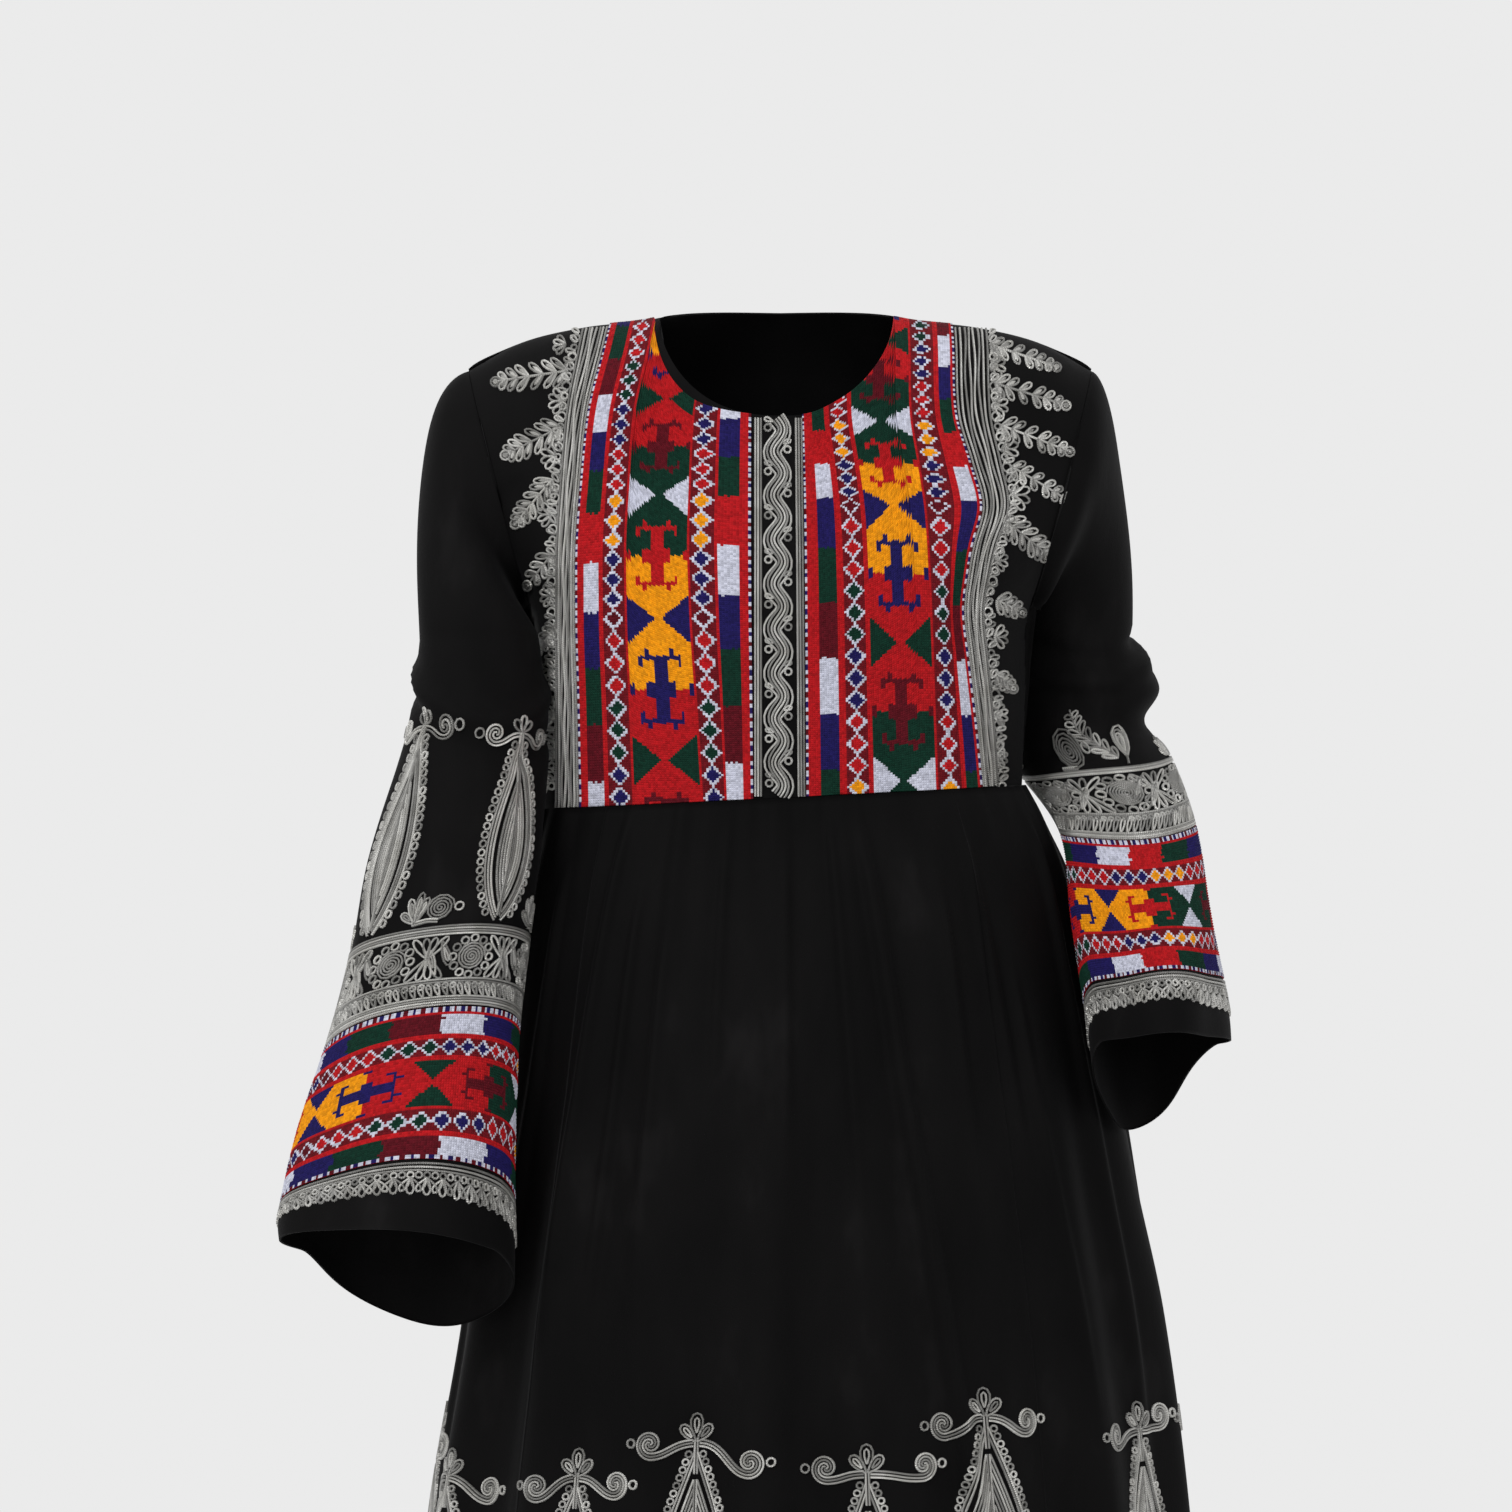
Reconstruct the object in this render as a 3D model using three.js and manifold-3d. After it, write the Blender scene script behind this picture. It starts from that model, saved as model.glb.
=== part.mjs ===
// A long black velvet dress in the Afghan style: an embroidered bodice, bell sleeves and a
// gathered skirt with raised silver braid. Millimetres, +Z up. The front faces -Y, +X is the
// wearer's left, and the origin lies midway between the shoulders.
import * as THREE from "three";
import Module from "manifold-3d";

const wasm = await Module();
wasm.setup();

// Driving sizes
const CLOTH = 1.6; // velvet wall
const GAP = 0.3; // between sewn pieces
const LIFT = 0.45; // under what is sewn on
const STITCHED = 1.2; // thickness of the embroidered cloth
const BRAID = 1.8; // thickness of the couched braid
const HEM_Z = -1350; // the dress is 1350 long from the shoulder
const NECK_HALF = 86; // half the neck opening at the shoulders
const NECK_DROP = 75; // front neckline below the shoulders
const BACK_NECK_RISE = 7; // the back neckline stands a little above the shoulders
const SHOULDER_ROLL = 62; // height over which the cloth rolls over the shoulder
const SECTION_POWER = 2.3; // roundness of a torso section, 2 is an ellipse
const WAIST = { middle: -342, slope: 0.05 }; // the waist seam drops towards the wearer's right
const ARMHOLE = { topX: 222, topZ: -38, lowX: 178, lowZ: -207 }; // a slanted flat cut
const RIGHT_PUFF = 0.66; // how far each sleeve runs straight out at the shoulder, in its cap's span
const LEFT_PUFF = 0.3;
const ARMPIT_PUFF = 1.1; // the same under the arm
const TRIM_INSET = 0.6; // between the edges of two trims
const FLATTEN = 0.15; // facets that bend by less than this are joined

// Grid counts
const SIDE_ROWS = 4; // bodice rows from the waist to the armpit
const ARM_ROWS = 10; // bodice rows along the armhole
const GATHERS = 54; // gathers round the waist, two skirt columns each
const SKIRT_COLUMNS = 2 * GATHERS;
const SLEEVE_COLUMNS = 2 * ARM_ROWS;
const CAP_STEPS = [0.1, 0.28, 0.52, 0.78]; // sleeve rings between the armhole and the upper arm
const RING_STEPS = 1000; // places round the skirt among which a motif's middle is looked up

// Torso sections, the reach of the cloth each way at a height
const TORSO = [
  { z: 40, left: -252, right: 252, front: 50, back: 62 },
  { z: 0, left: -250, right: 250, front: 62, back: 66 },
  { z: -60, left: -246, right: 246, front: 86, back: 80 },
  { z: -120, left: -236, right: 236, front: 106, back: 90 },
  { z: -170, left: -202, right: 202, front: 120, back: 92 },
  { z: -207, left: -178, right: 178, front: 124, back: 90 },
  { z: -270, left: -174, right: 175, front: 116, back: 86 },
  { z: -355, left: -173, right: 172, front: 106, back: 86 },
];

// Shoulder line from the neck to the shoulder point
const SHOULDER = [
  { x: 0, z: 26 },
  { x: 45, z: 16 },
  { x: 86, z: 0 },
  { x: 140, z: -7 },
  { x: 185, z: -18 },
  { x: 222, z: -38 },
];

// Lines across the front, from the wearer's right, by their place at the waist and at the top
const FRONT_LINES = [
  { name: "right_seam", waist: -173, top: -222 },
  { name: "right_chest", waist: -167, top: -180 },
  { name: "right_border_out", waist: -159, top: -139 },
  { name: "right_border_in", waist: -141, top: -118 },
  { name: "right_neck_corner", waist: -112, top: -NECK_HALF },
  { name: "right_neck_side", waist: -98, top: -79 },
  { name: "right_panel_a", waist: -80, top: -64 },
  { name: "right_panel_b", waist: -49, top: -41 },
  { name: "right_placket", waist: -19, top: -19 },
  { name: "left_placket", waist: 18, top: 16 },
  { name: "left_panel_b", waist: 49, top: 40 },
  { name: "left_panel_a", waist: 80, top: 63 },
  { name: "left_neck_side", waist: 97, top: 79 },
  { name: "left_neck_corner", waist: 110, top: NECK_HALF },
  { name: "left_border_in", waist: 142, top: 125 },
  { name: "left_border_out", waist: 154, top: 147 },
  { name: "left_chest", waist: 165, top: 184 },
  { name: "left_seam", waist: 172, top: 222 },
];

const BACK_LINES = [
  { name: "right_seam", waist: -173, top: -222 },
  { name: "right_side", waist: -160, top: -180 },
  { name: "right_blade", waist: -128, top: -135 },
  { name: "right_neck_corner", waist: -86, top: -NECK_HALF },
  { name: "right_back", waist: -50, top: -48 },
  { name: "middle", waist: -7, top: 0 },
  { name: "left_back", waist: 40, top: 48 },
  { name: "left_neck_corner", waist: 78, top: NECK_HALF },
  { name: "left_blade", waist: 118, top: 135 },
  { name: "left_side", waist: 158, top: 180 },
  { name: "left_seam", waist: 172, top: 222 },
];

// Sleeve sections. outer and front are tilts in degrees, outer end down and front side up, and
// sag is how far the inner back hangs below the rest.
const RIGHT_SLEEVE = [
  { mark: "upper_arm", z: -232, x: -213, y: -48, half: 42, deep: 44, outer: 0, front: 4, sag: 0 },
  { mark: "elbow", z: -287, x: -213, y: -62, half: 49, deep: 46, outer: 0, front: 6, sag: 0 },
  { mark: "motif_top", z: -318, x: -216, y: -66, half: 53, deep: 48, outer: 1, front: 8, sag: 0 },
  { mark: "motif", z: -385, x: -228, y: -74, half: 61, deep: 53, outer: 4, front: 12, sag: 0 },
  { mark: "braid_top", z: -446, x: -239, y: -82, half: 63, deep: 56, outer: 7, front: 17, sag: 0 },
  { mark: "band_top", z: -509, x: -251, y: -92, half: 68, deep: 60, outer: 9, front: 21, sag: 2 },
  { mark: "band_middle", z: -565, x: -259, y: -106, half: 75, deep: 63, outer: 8, front: 25, sag: 6 },
  { mark: "band_low", z: -621, x: -265, y: -122, half: 79, deep: 66, outer: 5, front: 28, sag: 14 },
  { mark: "braid_low", z: -640, x: -266, y: -129, half: 79, deep: 67, outer: 0, front: 24, sag: 25 },
  { mark: "hem", z: -655, x: -266, y: -134, half: 78, deep: 67, outer: -4, front: 17, sag: 38 },
];

const LEFT_SLEEVE = [
  { mark: "upper_arm", z: -228, x: 212, y: 48, half: 43, deep: 48, outer: 0, front: -8, sag: 0 },
  { mark: "elbow", z: -262, x: 220, y: 58, half: 56, deep: 54, outer: 0, front: -6, sag: 0 },
  { mark: "motif_top", z: -288, x: 214, y: 60, half: 51, deep: 54, outer: -3, front: -4, sag: 0 },
  { mark: "motif", z: -303, x: 218, y: 56, half: 53, deep: 55, outer: -5, front: -3, sag: 0 },
  { mark: "braid_top", z: -320, x: 227, y: 40, half: 54, deep: 54, outer: -7, front: -3, sag: 0 },
  { mark: "band_top", z: -364, x: 246, y: -26, half: 47, deep: 54, outer: -3, front: -8, sag: 4 },
  { mark: "band_middle", z: -418, x: 254, y: -62, half: 47, deep: 57, outer: -2, front: 0, sag: 14 },
  { mark: "band_low", z: -471, x: 261, y: -90, half: 47, deep: 59, outer: -3, front: 9, sag: 30 },
  { mark: "braid_low", z: -495, x: 263, y: -101, half: 47, deep: 61, outer: -2, front: 12, sag: 44 },
  { mark: "hem", z: -512, x: 264, y: -109, half: 46, deep: 62, outer: -2, front: 8, sag: 56 },
];
const SAG_TURN = 0.68; // where round the sleeve it sags most

// Skirt sections below the waist, the reach of the base form each way
const SKIRT = [
  { drop: 0, left: -173, right: 172, front: 106, back: 86 },
  { drop: 22, left: -176, right: 184, front: 110, back: 92 },
  { drop: 60, left: -182, right: 200, front: 120, back: 102 },
  { drop: 118, left: -190, right: 215, front: 132, back: 116 },
  { drop: 225, left: -205, right: 240, front: 150, back: 134 },
  { drop: 289, left: -214, right: 252, front: 158, back: 144 },
  { drop: 375, left: -225, right: 269, front: 168, back: 154 },
  { drop: 512, left: -247, right: 283, front: 180, back: 168 },
  { drop: 760, left: -270, right: 298, front: 196, back: 184 },
  { drop: 1009, left: -284, right: 306, front: 206, back: 194 },
];
const SKIRT_DROPS = [0, 20, 65, 140, 240, 355, 480, 620, 800, 1009];

// Largest folds of the skirt: place round the hem and at the waist in turns from the front
// middle towards the wearer's left, half width in turns and depth at the hem
const FOLDS = [
  { waist: -0.465, hem: -0.46, width: 0.032, depth: 24 },
  { waist: -0.395, hem: -0.392, width: 0.026, depth: 20 },
  { waist: -0.325, hem: -0.33, width: 0.034, depth: 26 },
  { waist: -0.255, hem: -0.262, width: 0.026, depth: 18 },
  { waist: -0.19, hem: -0.2, width: 0.03, depth: 24 },
  { waist: -0.125, hem: -0.13, width: 0.028, depth: 20 },
  { waist: -0.07, hem: -0.066, width: 0.026, depth: 15 },
  { waist: -0.01, hem: -0.012, width: 0.024, depth: 12 },
  { waist: 0.045, hem: 0.062, width: 0.032, depth: 26 },
  { waist: 0.105, hem: 0.125, width: 0.026, depth: 14 },
  { waist: 0.165, hem: 0.185, width: 0.028, depth: 22 },
  { waist: 0.235, hem: 0.248, width: 0.03, depth: 22 },
  { waist: 0.305, hem: 0.308, width: 0.028, depth: 20 },
  { waist: 0.37, hem: 0.372, width: 0.03, depth: 26 },
  { waist: 0.435, hem: 0.434, width: 0.026, depth: 20 },
];
const GATHER_DEPTH = 4.6;
const GATHER_FADE = 95; // drop over which the gathers melt into the folds

// Skirt panels, their seams in turns from the front middle
const SKIRT_PANELS = [
  { name: "skirt_front", from: -5 / 36, to: 5 / 36 },
  { name: "skirt_left_side", from: 5 / 36, to: 13 / 36 },
  { name: "skirt_back", from: 13 / 36, to: 23 / 36 },
  { name: "skirt_right_side", from: 23 / 36, to: 31 / 36 },
];

// Leaf sprays of the shoulder borders in the front view: root on the border, tip and half width
const RIGHT_SPRAYS = [
  { rootX: -132, rootZ: -28, tipX: -205, tipZ: -46, half: 14 },
  { rootX: -136, rootZ: -64, tipX: -194, tipZ: -102, half: 16 },
  { rootX: -142, rootZ: -112, tipX: -187, tipZ: -152, half: 14 },
  { rootX: -146, rootZ: -168, tipX: -166, tipZ: -190, half: 9 },
  { rootX: -148, rootZ: -214, tipX: -162, tipZ: -232, half: 8 },
];
const LEFT_SPRAYS = [
  { rootX: 142, rootZ: -18, tipX: 199, tipZ: -38, half: 13 },
  { rootX: 145, rootZ: -50, tipX: 205, tipZ: -68, half: 13 },
  { rootX: 147, rootZ: -84, tipX: 204, tipZ: -101, half: 13 },
  { rootX: 148, rootZ: -118, tipX: 196, tipZ: -139, half: 12 },
  { rootX: 148, rootZ: -160, tipX: 176, tipZ: -176, half: 10 },
  { rootX: 148, rootZ: -205, tipX: 164, tipZ: -212, half: 9 },
];

// Skirt motifs: a cypress with two scroll arms and a finial, round the skirt in turns from the
// front middle, each with its rise above the common level
const MOTIFS = [
  { name: "a", turn: -0.19, rise: -31 },
  { name: "b", turn: -0.107, rise: -25 },
  { name: "c", turn: -0.0435, rise: 0 },
  { name: "d", turn: 0.0425, rise: -23 },
  { name: "e", turn: 0.1065, rise: 10 },
  { name: "f", turn: 0.207, rise: -11 },
  { name: "g", turn: 0.274, rise: 0 },
  { name: "h", turn: 0.341, rise: -5 },
  { name: "i", turn: 0.408, rise: 3 },
  { name: "j", turn: 0.475, rise: -2 },
  { name: "k", turn: 0.542, rise: 4 },
  { name: "l", turn: 0.609, rise: -4 },
  { name: "m", turn: 0.676, rise: 2 },
  { name: "n", turn: 0.743, rise: -8 },
];
const MOTIF_DROP = 420; // the finial's tip, below the waist seam
const MOTIF_REACH = 0.055; // half the stretch of skirt a motif is cut from, in turns
const SKIRT_ROWS_CROSSED = [4, 8]; // the skirt rows a motif is cut from
const CUT_DEPTHS = { border: 99, sleeve: 34, skirt: 60 }; // half depths of the cutting prisms
const SKIRT_MOTIF = {
  finial: { tall: 17, half: 8 },
  arm: { reach: 32, drop: 27, width: 5, from: 14 },
  scroll: { radius: 10.5 },
  cypress: { from: 20, tall: 225, half: 33, lobes: 3 },
};
const SLEEVE_MOTIF = {
  finial: { tall: 10, half: 5 },
  arm: { reach: 20, drop: 12, width: 4, from: 8 },
  scroll: { radius: 7 },
  cypress: { from: 9, tall: 118, half: 19, lobes: 3 },
};
// Round each sleeve from its outer line, in turns. The elbow's fold hides most of the first two
// on the wearer's left sleeve: a leaf and a curl show there.
const SLEEVE_MOTIF_TURNS = {
  right: [0.12, 0.365, 0.615, 0.87],
  left: [0.19, 0.3, 0.615, 0.87],
};
const ELBOW_LEAF = { lean: 26, low: 9, high: 40, half: 7 };
const ELBOW_CURL = { radius: 10, rise: 11 };

const COLOURS = {
  velvet: { color: 0x0a090b, roughness: 0.85, metalness: 0 },
  embroidery: { color: 0xa8141c, roughness: 0.8, metalness: 0 },
  braid: { color: 0xc2beb4, roughness: 0.42, metalness: 0.75 },
};

const dress = new THREE.Group();
const vector = (x, y, z) => new THREE.Vector3(x, y, z);
const mix = (a, b, t) => a + (b - a) * t;
const clamp = (v, low, high) => Math.min(Math.max(v, low), high);
const smooth = (t) => t * t * (3 - 2 * t);

// A smooth curve through one column of a table
function curve(table, key, column) {
  const rows = [...table].sort((a, b) => a[key] - b[key]);
  const xs = rows.map((row) => row[key]);
  const ys = rows.map((row) => row[column]);
  const last = xs.length - 1;
  const slopes = xs.map((_, i) => {
    const before = Math.max(i - 1, 0);
    const after = Math.min(i + 1, last);
    return (ys[after] - ys[before]) / (xs[after] - xs[before]);
  });
  return (value) => {
    const x = clamp(value, xs[0], xs[last]);
    let i = 0;
    while (i < last - 1 && x > xs[i + 1]) i += 1;
    const width = xs[i + 1] - xs[i];
    const t = (x - xs[i]) / width;
    const ease = smooth(t);
    const rise = t * (1 - t) ** 2 * slopes[i] - t * t * (1 - t) * slopes[i + 1];
    return mix(ys[i], ys[i + 1], ease) + rise * width;
  };
}

const torso = {
  left: curve(TORSO, "z", "left"),
  right: curve(TORSO, "z", "right"),
  front: curve(TORSO, "z", "front"),
  back: curve(TORSO, "z", "back"),
};
const shoulderLine = curve(SHOULDER, "x", "z");

// The height of the torso cloth's depth at a place in the front view. side is -1 front, 1 back.
function torsoPoint(x, z, side) {
  const reach = x < 0 ? torso.left(z) : torso.right(z);
  const across = Math.min(Math.abs(x / reach), 1);
  const round = (1 - across ** SECTION_POWER) ** (1 / SECTION_POWER);
  const depth = side < 0 ? torso.front(z) : torso.back(z);
  const below = clamp((shoulderLine(Math.abs(x)) - z) / SHOULDER_ROLL, 0, 1);
  const roll = Math.sqrt(1 - (1 - below) ** 2);
  return vector(x, side * depth * round * roll, z);
}

const waistZ = (x) => WAIST.middle + WAIST.slope * x;

function frontTop(x) {
  const across = Math.abs(x) / NECK_HALF;
  if (across >= 1) return shoulderLine(Math.abs(x));
  return -NECK_DROP * (1 - across ** 2.4) ** 0.55;
}

function backTop(x) {
  const across = Math.abs(x) / NECK_HALF;
  if (across >= 1) return shoulderLine(Math.abs(x));
  return BACK_NECK_RISE * (1 - across ** 4);
}

const armholeX = (z) => {
  const slope = (ARMHOLE.topX - ARMHOLE.lowX) / (ARMHOLE.topZ - ARMHOLE.lowZ);
  return ARMHOLE.lowX + slope * (z - ARMHOLE.lowZ);
};

// Rows of points up one side of the torso, from the waist seam to the neck and shoulders
function torsoGrid(lines, side, topOf) {
  const rows = [];
  for (let j = 0; j <= SIDE_ROWS + ARM_ROWS; j += 1) {
    rows.push(
      lines.map((line, i) => {
        const edge = i === 0 ? -1 : i === lines.length - 1 ? 1 : 0;
        const top = topOf(line.top);
        const low = waistZ(line.waist);
        const upper = j > SIDE_ROWS;
        const z = upper
          ? mix(ARMHOLE.lowZ, top, Math.sin(((j - SIDE_ROWS) / ARM_ROWS) * Math.PI * 0.5))
          : mix(low, ARMHOLE.lowZ, j / SIDE_ROWS);
        const straight = mix(line.waist, line.top, (z - low) / (top - low));
        if (!edge) return torsoPoint(straight, z, side);
        if (upper) return torsoPoint(edge * armholeX(z), z, side);
        return vector(edge < 0 ? torso.left(z) : torso.right(z), 0, z);
      }),
    );
  }
  return rows;
}

// Vertex normals of a grid of points, as the mean of the facets around each. They point to the
// left of the rows' direction seen with the columns up, and flip turns them round.
function normalsOf(points, loop, flip) {
  const rows = points.length;
  const columns = points[0].length;
  const normals = points.map((row) => row.map(() => vector(0, 0, 0)));
  const spans = loop ? columns : columns - 1;
  for (let j = 0; j < rows - 1; j += 1)
    for (let i = 0; i < spans; i += 1) {
      const k = (i + 1) % columns;
      const across = points[j + 1][k].clone().sub(points[j][i]);
      const other = points[j + 1][i].clone().sub(points[j][k]);
      const face = across.cross(other).multiplyScalar(flip ? -1 : 1);
      for (const [r, c] of [[j, i], [j, k], [j + 1, i], [j + 1, k]]) normals[r][c].add(face);
    }
  return normals.map((row) => row.map((n) => n.normalize()));
}

const without = (n, axis) => n.clone().addScaledVector(axis, -n.dot(axis)).normalize();

// A closed wall over a grid, from one offset along the normals to another
function wallGeometry(grid, from, to, loop = false) {
  const rows = grid.points.length;
  const columns = grid.points[0].length;
  const positions = [];
  for (const offset of [to, from])
    for (let j = 0; j < rows; j += 1)
      for (let i = 0; i < columns; i += 1)
        positions.push(...grid.points[j][i].clone().addScaledVector(grid.normals[j][i], offset));
  const at = (layer, j, i) => layer * rows * columns + j * columns + (i % columns);
  const faces = [];
  const quad = (a, b, c, d) => faces.push(a, b, c, a, c, d);
  const spans = loop ? columns : columns - 1;
  for (let i = 0; i < spans; i += 1) {
    for (let j = 0; j < rows - 1; j += 1) {
      quad(at(0, j, i), at(0, j, i + 1), at(0, j + 1, i + 1), at(0, j + 1, i));
      faces.push(at(1, j, i), at(1, j + 1, i + 1), at(1, j, i + 1));
      faces.push(at(1, j, i), at(1, j + 1, i), at(1, j + 1, i + 1));
    }
    quad(at(1, 0, i), at(1, 0, i + 1), at(0, 0, i + 1), at(0, 0, i));
    quad(at(0, rows - 1, i), at(0, rows - 1, i + 1), at(1, rows - 1, i + 1), at(1, rows - 1, i));
  }
  if (!loop)
    for (let j = 0; j < rows - 1; j += 1) {
      quad(at(0, j, 0), at(0, j + 1, 0), at(1, j + 1, 0), at(1, j, 0));
      quad(at(1, j, spans), at(1, j + 1, spans), at(0, j + 1, spans), at(0, j, spans));
    }
  return outward(positions, faces);
}

// Geometry with its faces turned to point out of the solid
function outward(positions, faces) {
  const p = (i) => vector(positions[3 * i], positions[3 * i + 1], positions[3 * i + 2]);
  let volume = 0;
  for (let f = 0; f < faces.length; f += 3)
    volume += p(faces[f]).dot(p(faces[f + 1]).cross(p(faces[f + 2])));
  if (volume < 0)
    for (let f = 0; f < faces.length; f += 3)
      [faces[f + 1], faces[f + 2]] = [faces[f + 2], faces[f + 1]];
  const geometry = new THREE.BufferGeometry();
  geometry.setAttribute("position", new THREE.Float32BufferAttribute(positions, 3));
  geometry.setIndex(faces);
  return geometry;
}

// Rows and columns of a grid, with the cut edges drawn in by the given inset
function piece(grid, rows, columns, insets = {}) {
  const pick = (table) => {
    const kept = table.slice(rows[0], rows[1] + 1);
    return kept.map((row) => row.slice(columns[0], columns[1] + 1));
  };
  const points = pick(grid.points).map((row) => row.map((p) => p.clone()));
  const normals = pick(grid.normals);
  const draw = (p, q) => p.add(q.clone().sub(p).setLength(insets.by ?? GAP / 2));
  const last = points.length - 1;
  const end = points[0].length - 1;
  if (insets.low) points[0].forEach((p, i) => draw(p, points[1][i]));
  if (insets.high) points[last].forEach((p, i) => draw(p, points[last - 1][i]));
  if (insets.start) points.forEach((row) => draw(row[0], row[1]));
  if (insets.end) points.forEach((row) => draw(row[end], row[end - 1]));
  return { points, normals };
}

function add(name, geometry, finish) {
  const mesh = new THREE.Mesh(geometry, new THREE.MeshStandardMaterial(COLOURS[finish]));
  mesh.name = name;
  dress.add(mesh);
}

function solidOf(geometry) {
  const vertProperties = new Float32Array(geometry.attributes.position.array);
  const triVerts = new Uint32Array(geometry.index.array);
  return new wasm.Manifold(new wasm.Mesh({ numProp: 3, vertProperties, triVerts }));
}

// The largest body of a cut solid, as geometry
function geometryOf(solid) {
  const bodies = solid.simplify(FLATTEN).decompose().sort((a, b) => b.volume() - a.volume());
  const mesh = bodies[0].getMesh();
  return outward(Array.from(mesh.vertProperties), Array.from(mesh.triVerts));
}

// What lies on a wall, trimmed where it would dip into it
const clearOf = (geometry, wall) => geometryOf(solidOf(geometry).subtract(solidOf(wall)));

// A prism over a flat outline of [right, up] points, along the out direction of a placed frame
function prism(outline, frame, depth) {
  const points = outline.map(([right, up]) => new THREE.Vector2(right, up));
  if (THREE.ShapeUtils.isClockWise(points)) points.reverse();
  const positions = [];
  for (const reach of [-depth, depth])
    for (const p of points)
      positions.push(
        ...frame.origin
          .clone()
          .addScaledVector(frame.right, p.x)
          .addScaledVector(frame.up, p.y)
          .addScaledVector(frame.out, reach),
      );
  const n = points.length;
  const faces = [];
  for (const [a, b, c] of THREE.ShapeUtils.triangulateShape(points, []))
    faces.push(a, c, b, n + a, n + b, n + c);
  for (let i = 0; i < n; i += 1) {
    const k = (i + 1) % n;
    faces.push(i, k, n + k, i, n + k, n + i);
  }
  return solidOf(outward(positions, faces));
}

// A pointed leaf from root to tip whose sides swell in lobes
function leafOutline(root, tip, half, lobes) {
  const along = new THREE.Vector2(tip[0] - root[0], tip[1] - root[1]);
  const side = new THREE.Vector2(-along.y, along.x).normalize();
  const steps = 2 * lobes;
  const right = [];
  const left = [];
  for (let i = 1; i < steps; i += 1) {
    const t = i / steps;
    const swell = i % 2 ? 1 : 0.8;
    const width = half * swell * Math.sin(Math.PI * t ** 0.75);
    right.push([root[0] + along.x * t - side.x * width, root[1] + along.y * t - side.y * width]);
    left.unshift([root[0] + along.x * t + side.x * width, root[1] + along.y * t + side.y * width]);
  }
  return [root, ...right, tip, ...left];
}

// A regular outline round a place
const roundOutline = (x, y, radius, sides) =>
  Array.from({ length: sides }, (_, i) => {
    const turn = (i / sides) * 2 * Math.PI;
    return [x + radius * Math.cos(turn), y + radius * Math.sin(turn)];
  });

// A motif as a prism in a frame whose origin is the finial's tip
function motifPrism(motif, frame, depth) {
  const { finial, arm, scroll, cypress } = motif;
  const stem = 2.5;
  const bodyTip = [0, -cypress.from - cypress.tall];
  const outlines = [
    leafOutline([0, -finial.tall - 2], [0, 0], finial.half, 1),
    leafOutline(bodyTip, [0, -cypress.from + 6], cypress.half, cypress.lobes),
    [
      [-stem, -finial.tall],
      [stem, -finial.tall],
      [stem, -cypress.from - 12],
      [-stem, -cypress.from - 12],
    ],
  ];
  for (const side of [-1, 1]) {
    const elbow = side * arm.reach;
    outlines.push(
      [
        [side * -1.5, -arm.from],
        [side * -1.5, -arm.from - arm.width],
        [elbow, -arm.drop - arm.width / 2],
        [elbow, -arm.drop + arm.width / 2],
      ],
      roundOutline(elbow, -arm.drop, scroll.radius, 7),
    );
  }
  return outlines.map((outline) => prism(outline, frame, depth)).reduce((a, b) => a.add(b));
}

// Bodice
const UP = vector(0, 0, 1);
const ACROSS = vector(0, 1, 0);
const armholeSlope = vector(ARMHOLE.topX - ARMHOLE.lowX, 0, ARMHOLE.topZ - ARMHOLE.lowZ).normalize();
const armholeOut = (side) => vector(side * armholeSlope.z, 0, -armholeSlope.x);

// The torso grid with its normals held in the plane of each seam, and drawn back from it
function sewnTorso(lines, side, topOf) {
  const points = torsoGrid(lines, side, topOf);
  const normals = normalsOf(points, false, side > 0);
  const last = points.length - 1;
  const end = lines.length - 1;
  const shift = (j, i, axis) => points[j][i].addScaledVector(axis, GAP / 2);
  points[0].forEach((_, i) => {
    normals[0][i] = without(normals[0][i], UP);
    shift(0, i, UP);
  });
  points[last].forEach((p, i) => {
    if (Math.abs(lines[i].top) < NECK_HALF - 1) return;
    normals[last][i] = without(normals[last][i], ACROSS);
    shift(last, i, vector(0, side, 0));
  });
  for (let j = 0; j <= SIDE_ROWS; j += 1)
    for (const i of [0, end]) {
      normals[j][i] = without(without(normals[j][i], ACROSS), UP);
      shift(j, i, vector(0, side, 0));
    }
  for (const [i, hand] of [[0, -1], [end, 1]]) {
    const out = armholeOut(hand);
    const middle = points[SIDE_ROWS][i].clone().add(points[last][i]).multiplyScalar(0.5);
    for (let j = SIDE_ROWS; j <= last; j += 1) {
      normals[j][i] = armholeNormal(points[j][i], middle, out, side);
      if (j > SIDE_ROWS) shift(j, i, out.clone().negate());
    }
  }
  return { points, normals };
}

// The direction out of the armhole's ring, in its plane
function armholeNormal(point, middle, out, side) {
  const ray = without(point.clone().sub(middle), out);
  const height = ray.dot(UP);
  const lengthwise = Math.sign(height) * Math.abs(height) ** 1.2;
  return without(vector(0, side * Math.abs(ray.y), 0).addScaledVector(UP, lengthwise), out);
}

const front = sewnTorso(FRONT_LINES, -1, frontTop);
const back = sewnTorso(BACK_LINES, 1, backTop);
const frontWall = wallGeometry(front, -CLOTH, 0);
add("bodice_front", frontWall, "velvet");
add("bodice_back", wallGeometry(back, -CLOTH, 0), "velvet");

const lineIndex = (name) => FRONT_LINES.findIndex((line) => line.name === name);
const ALL_ROWS = [0, SIDE_ROWS + ARM_ROWS];
const BETWEEN = { start: true, end: true };

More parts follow.
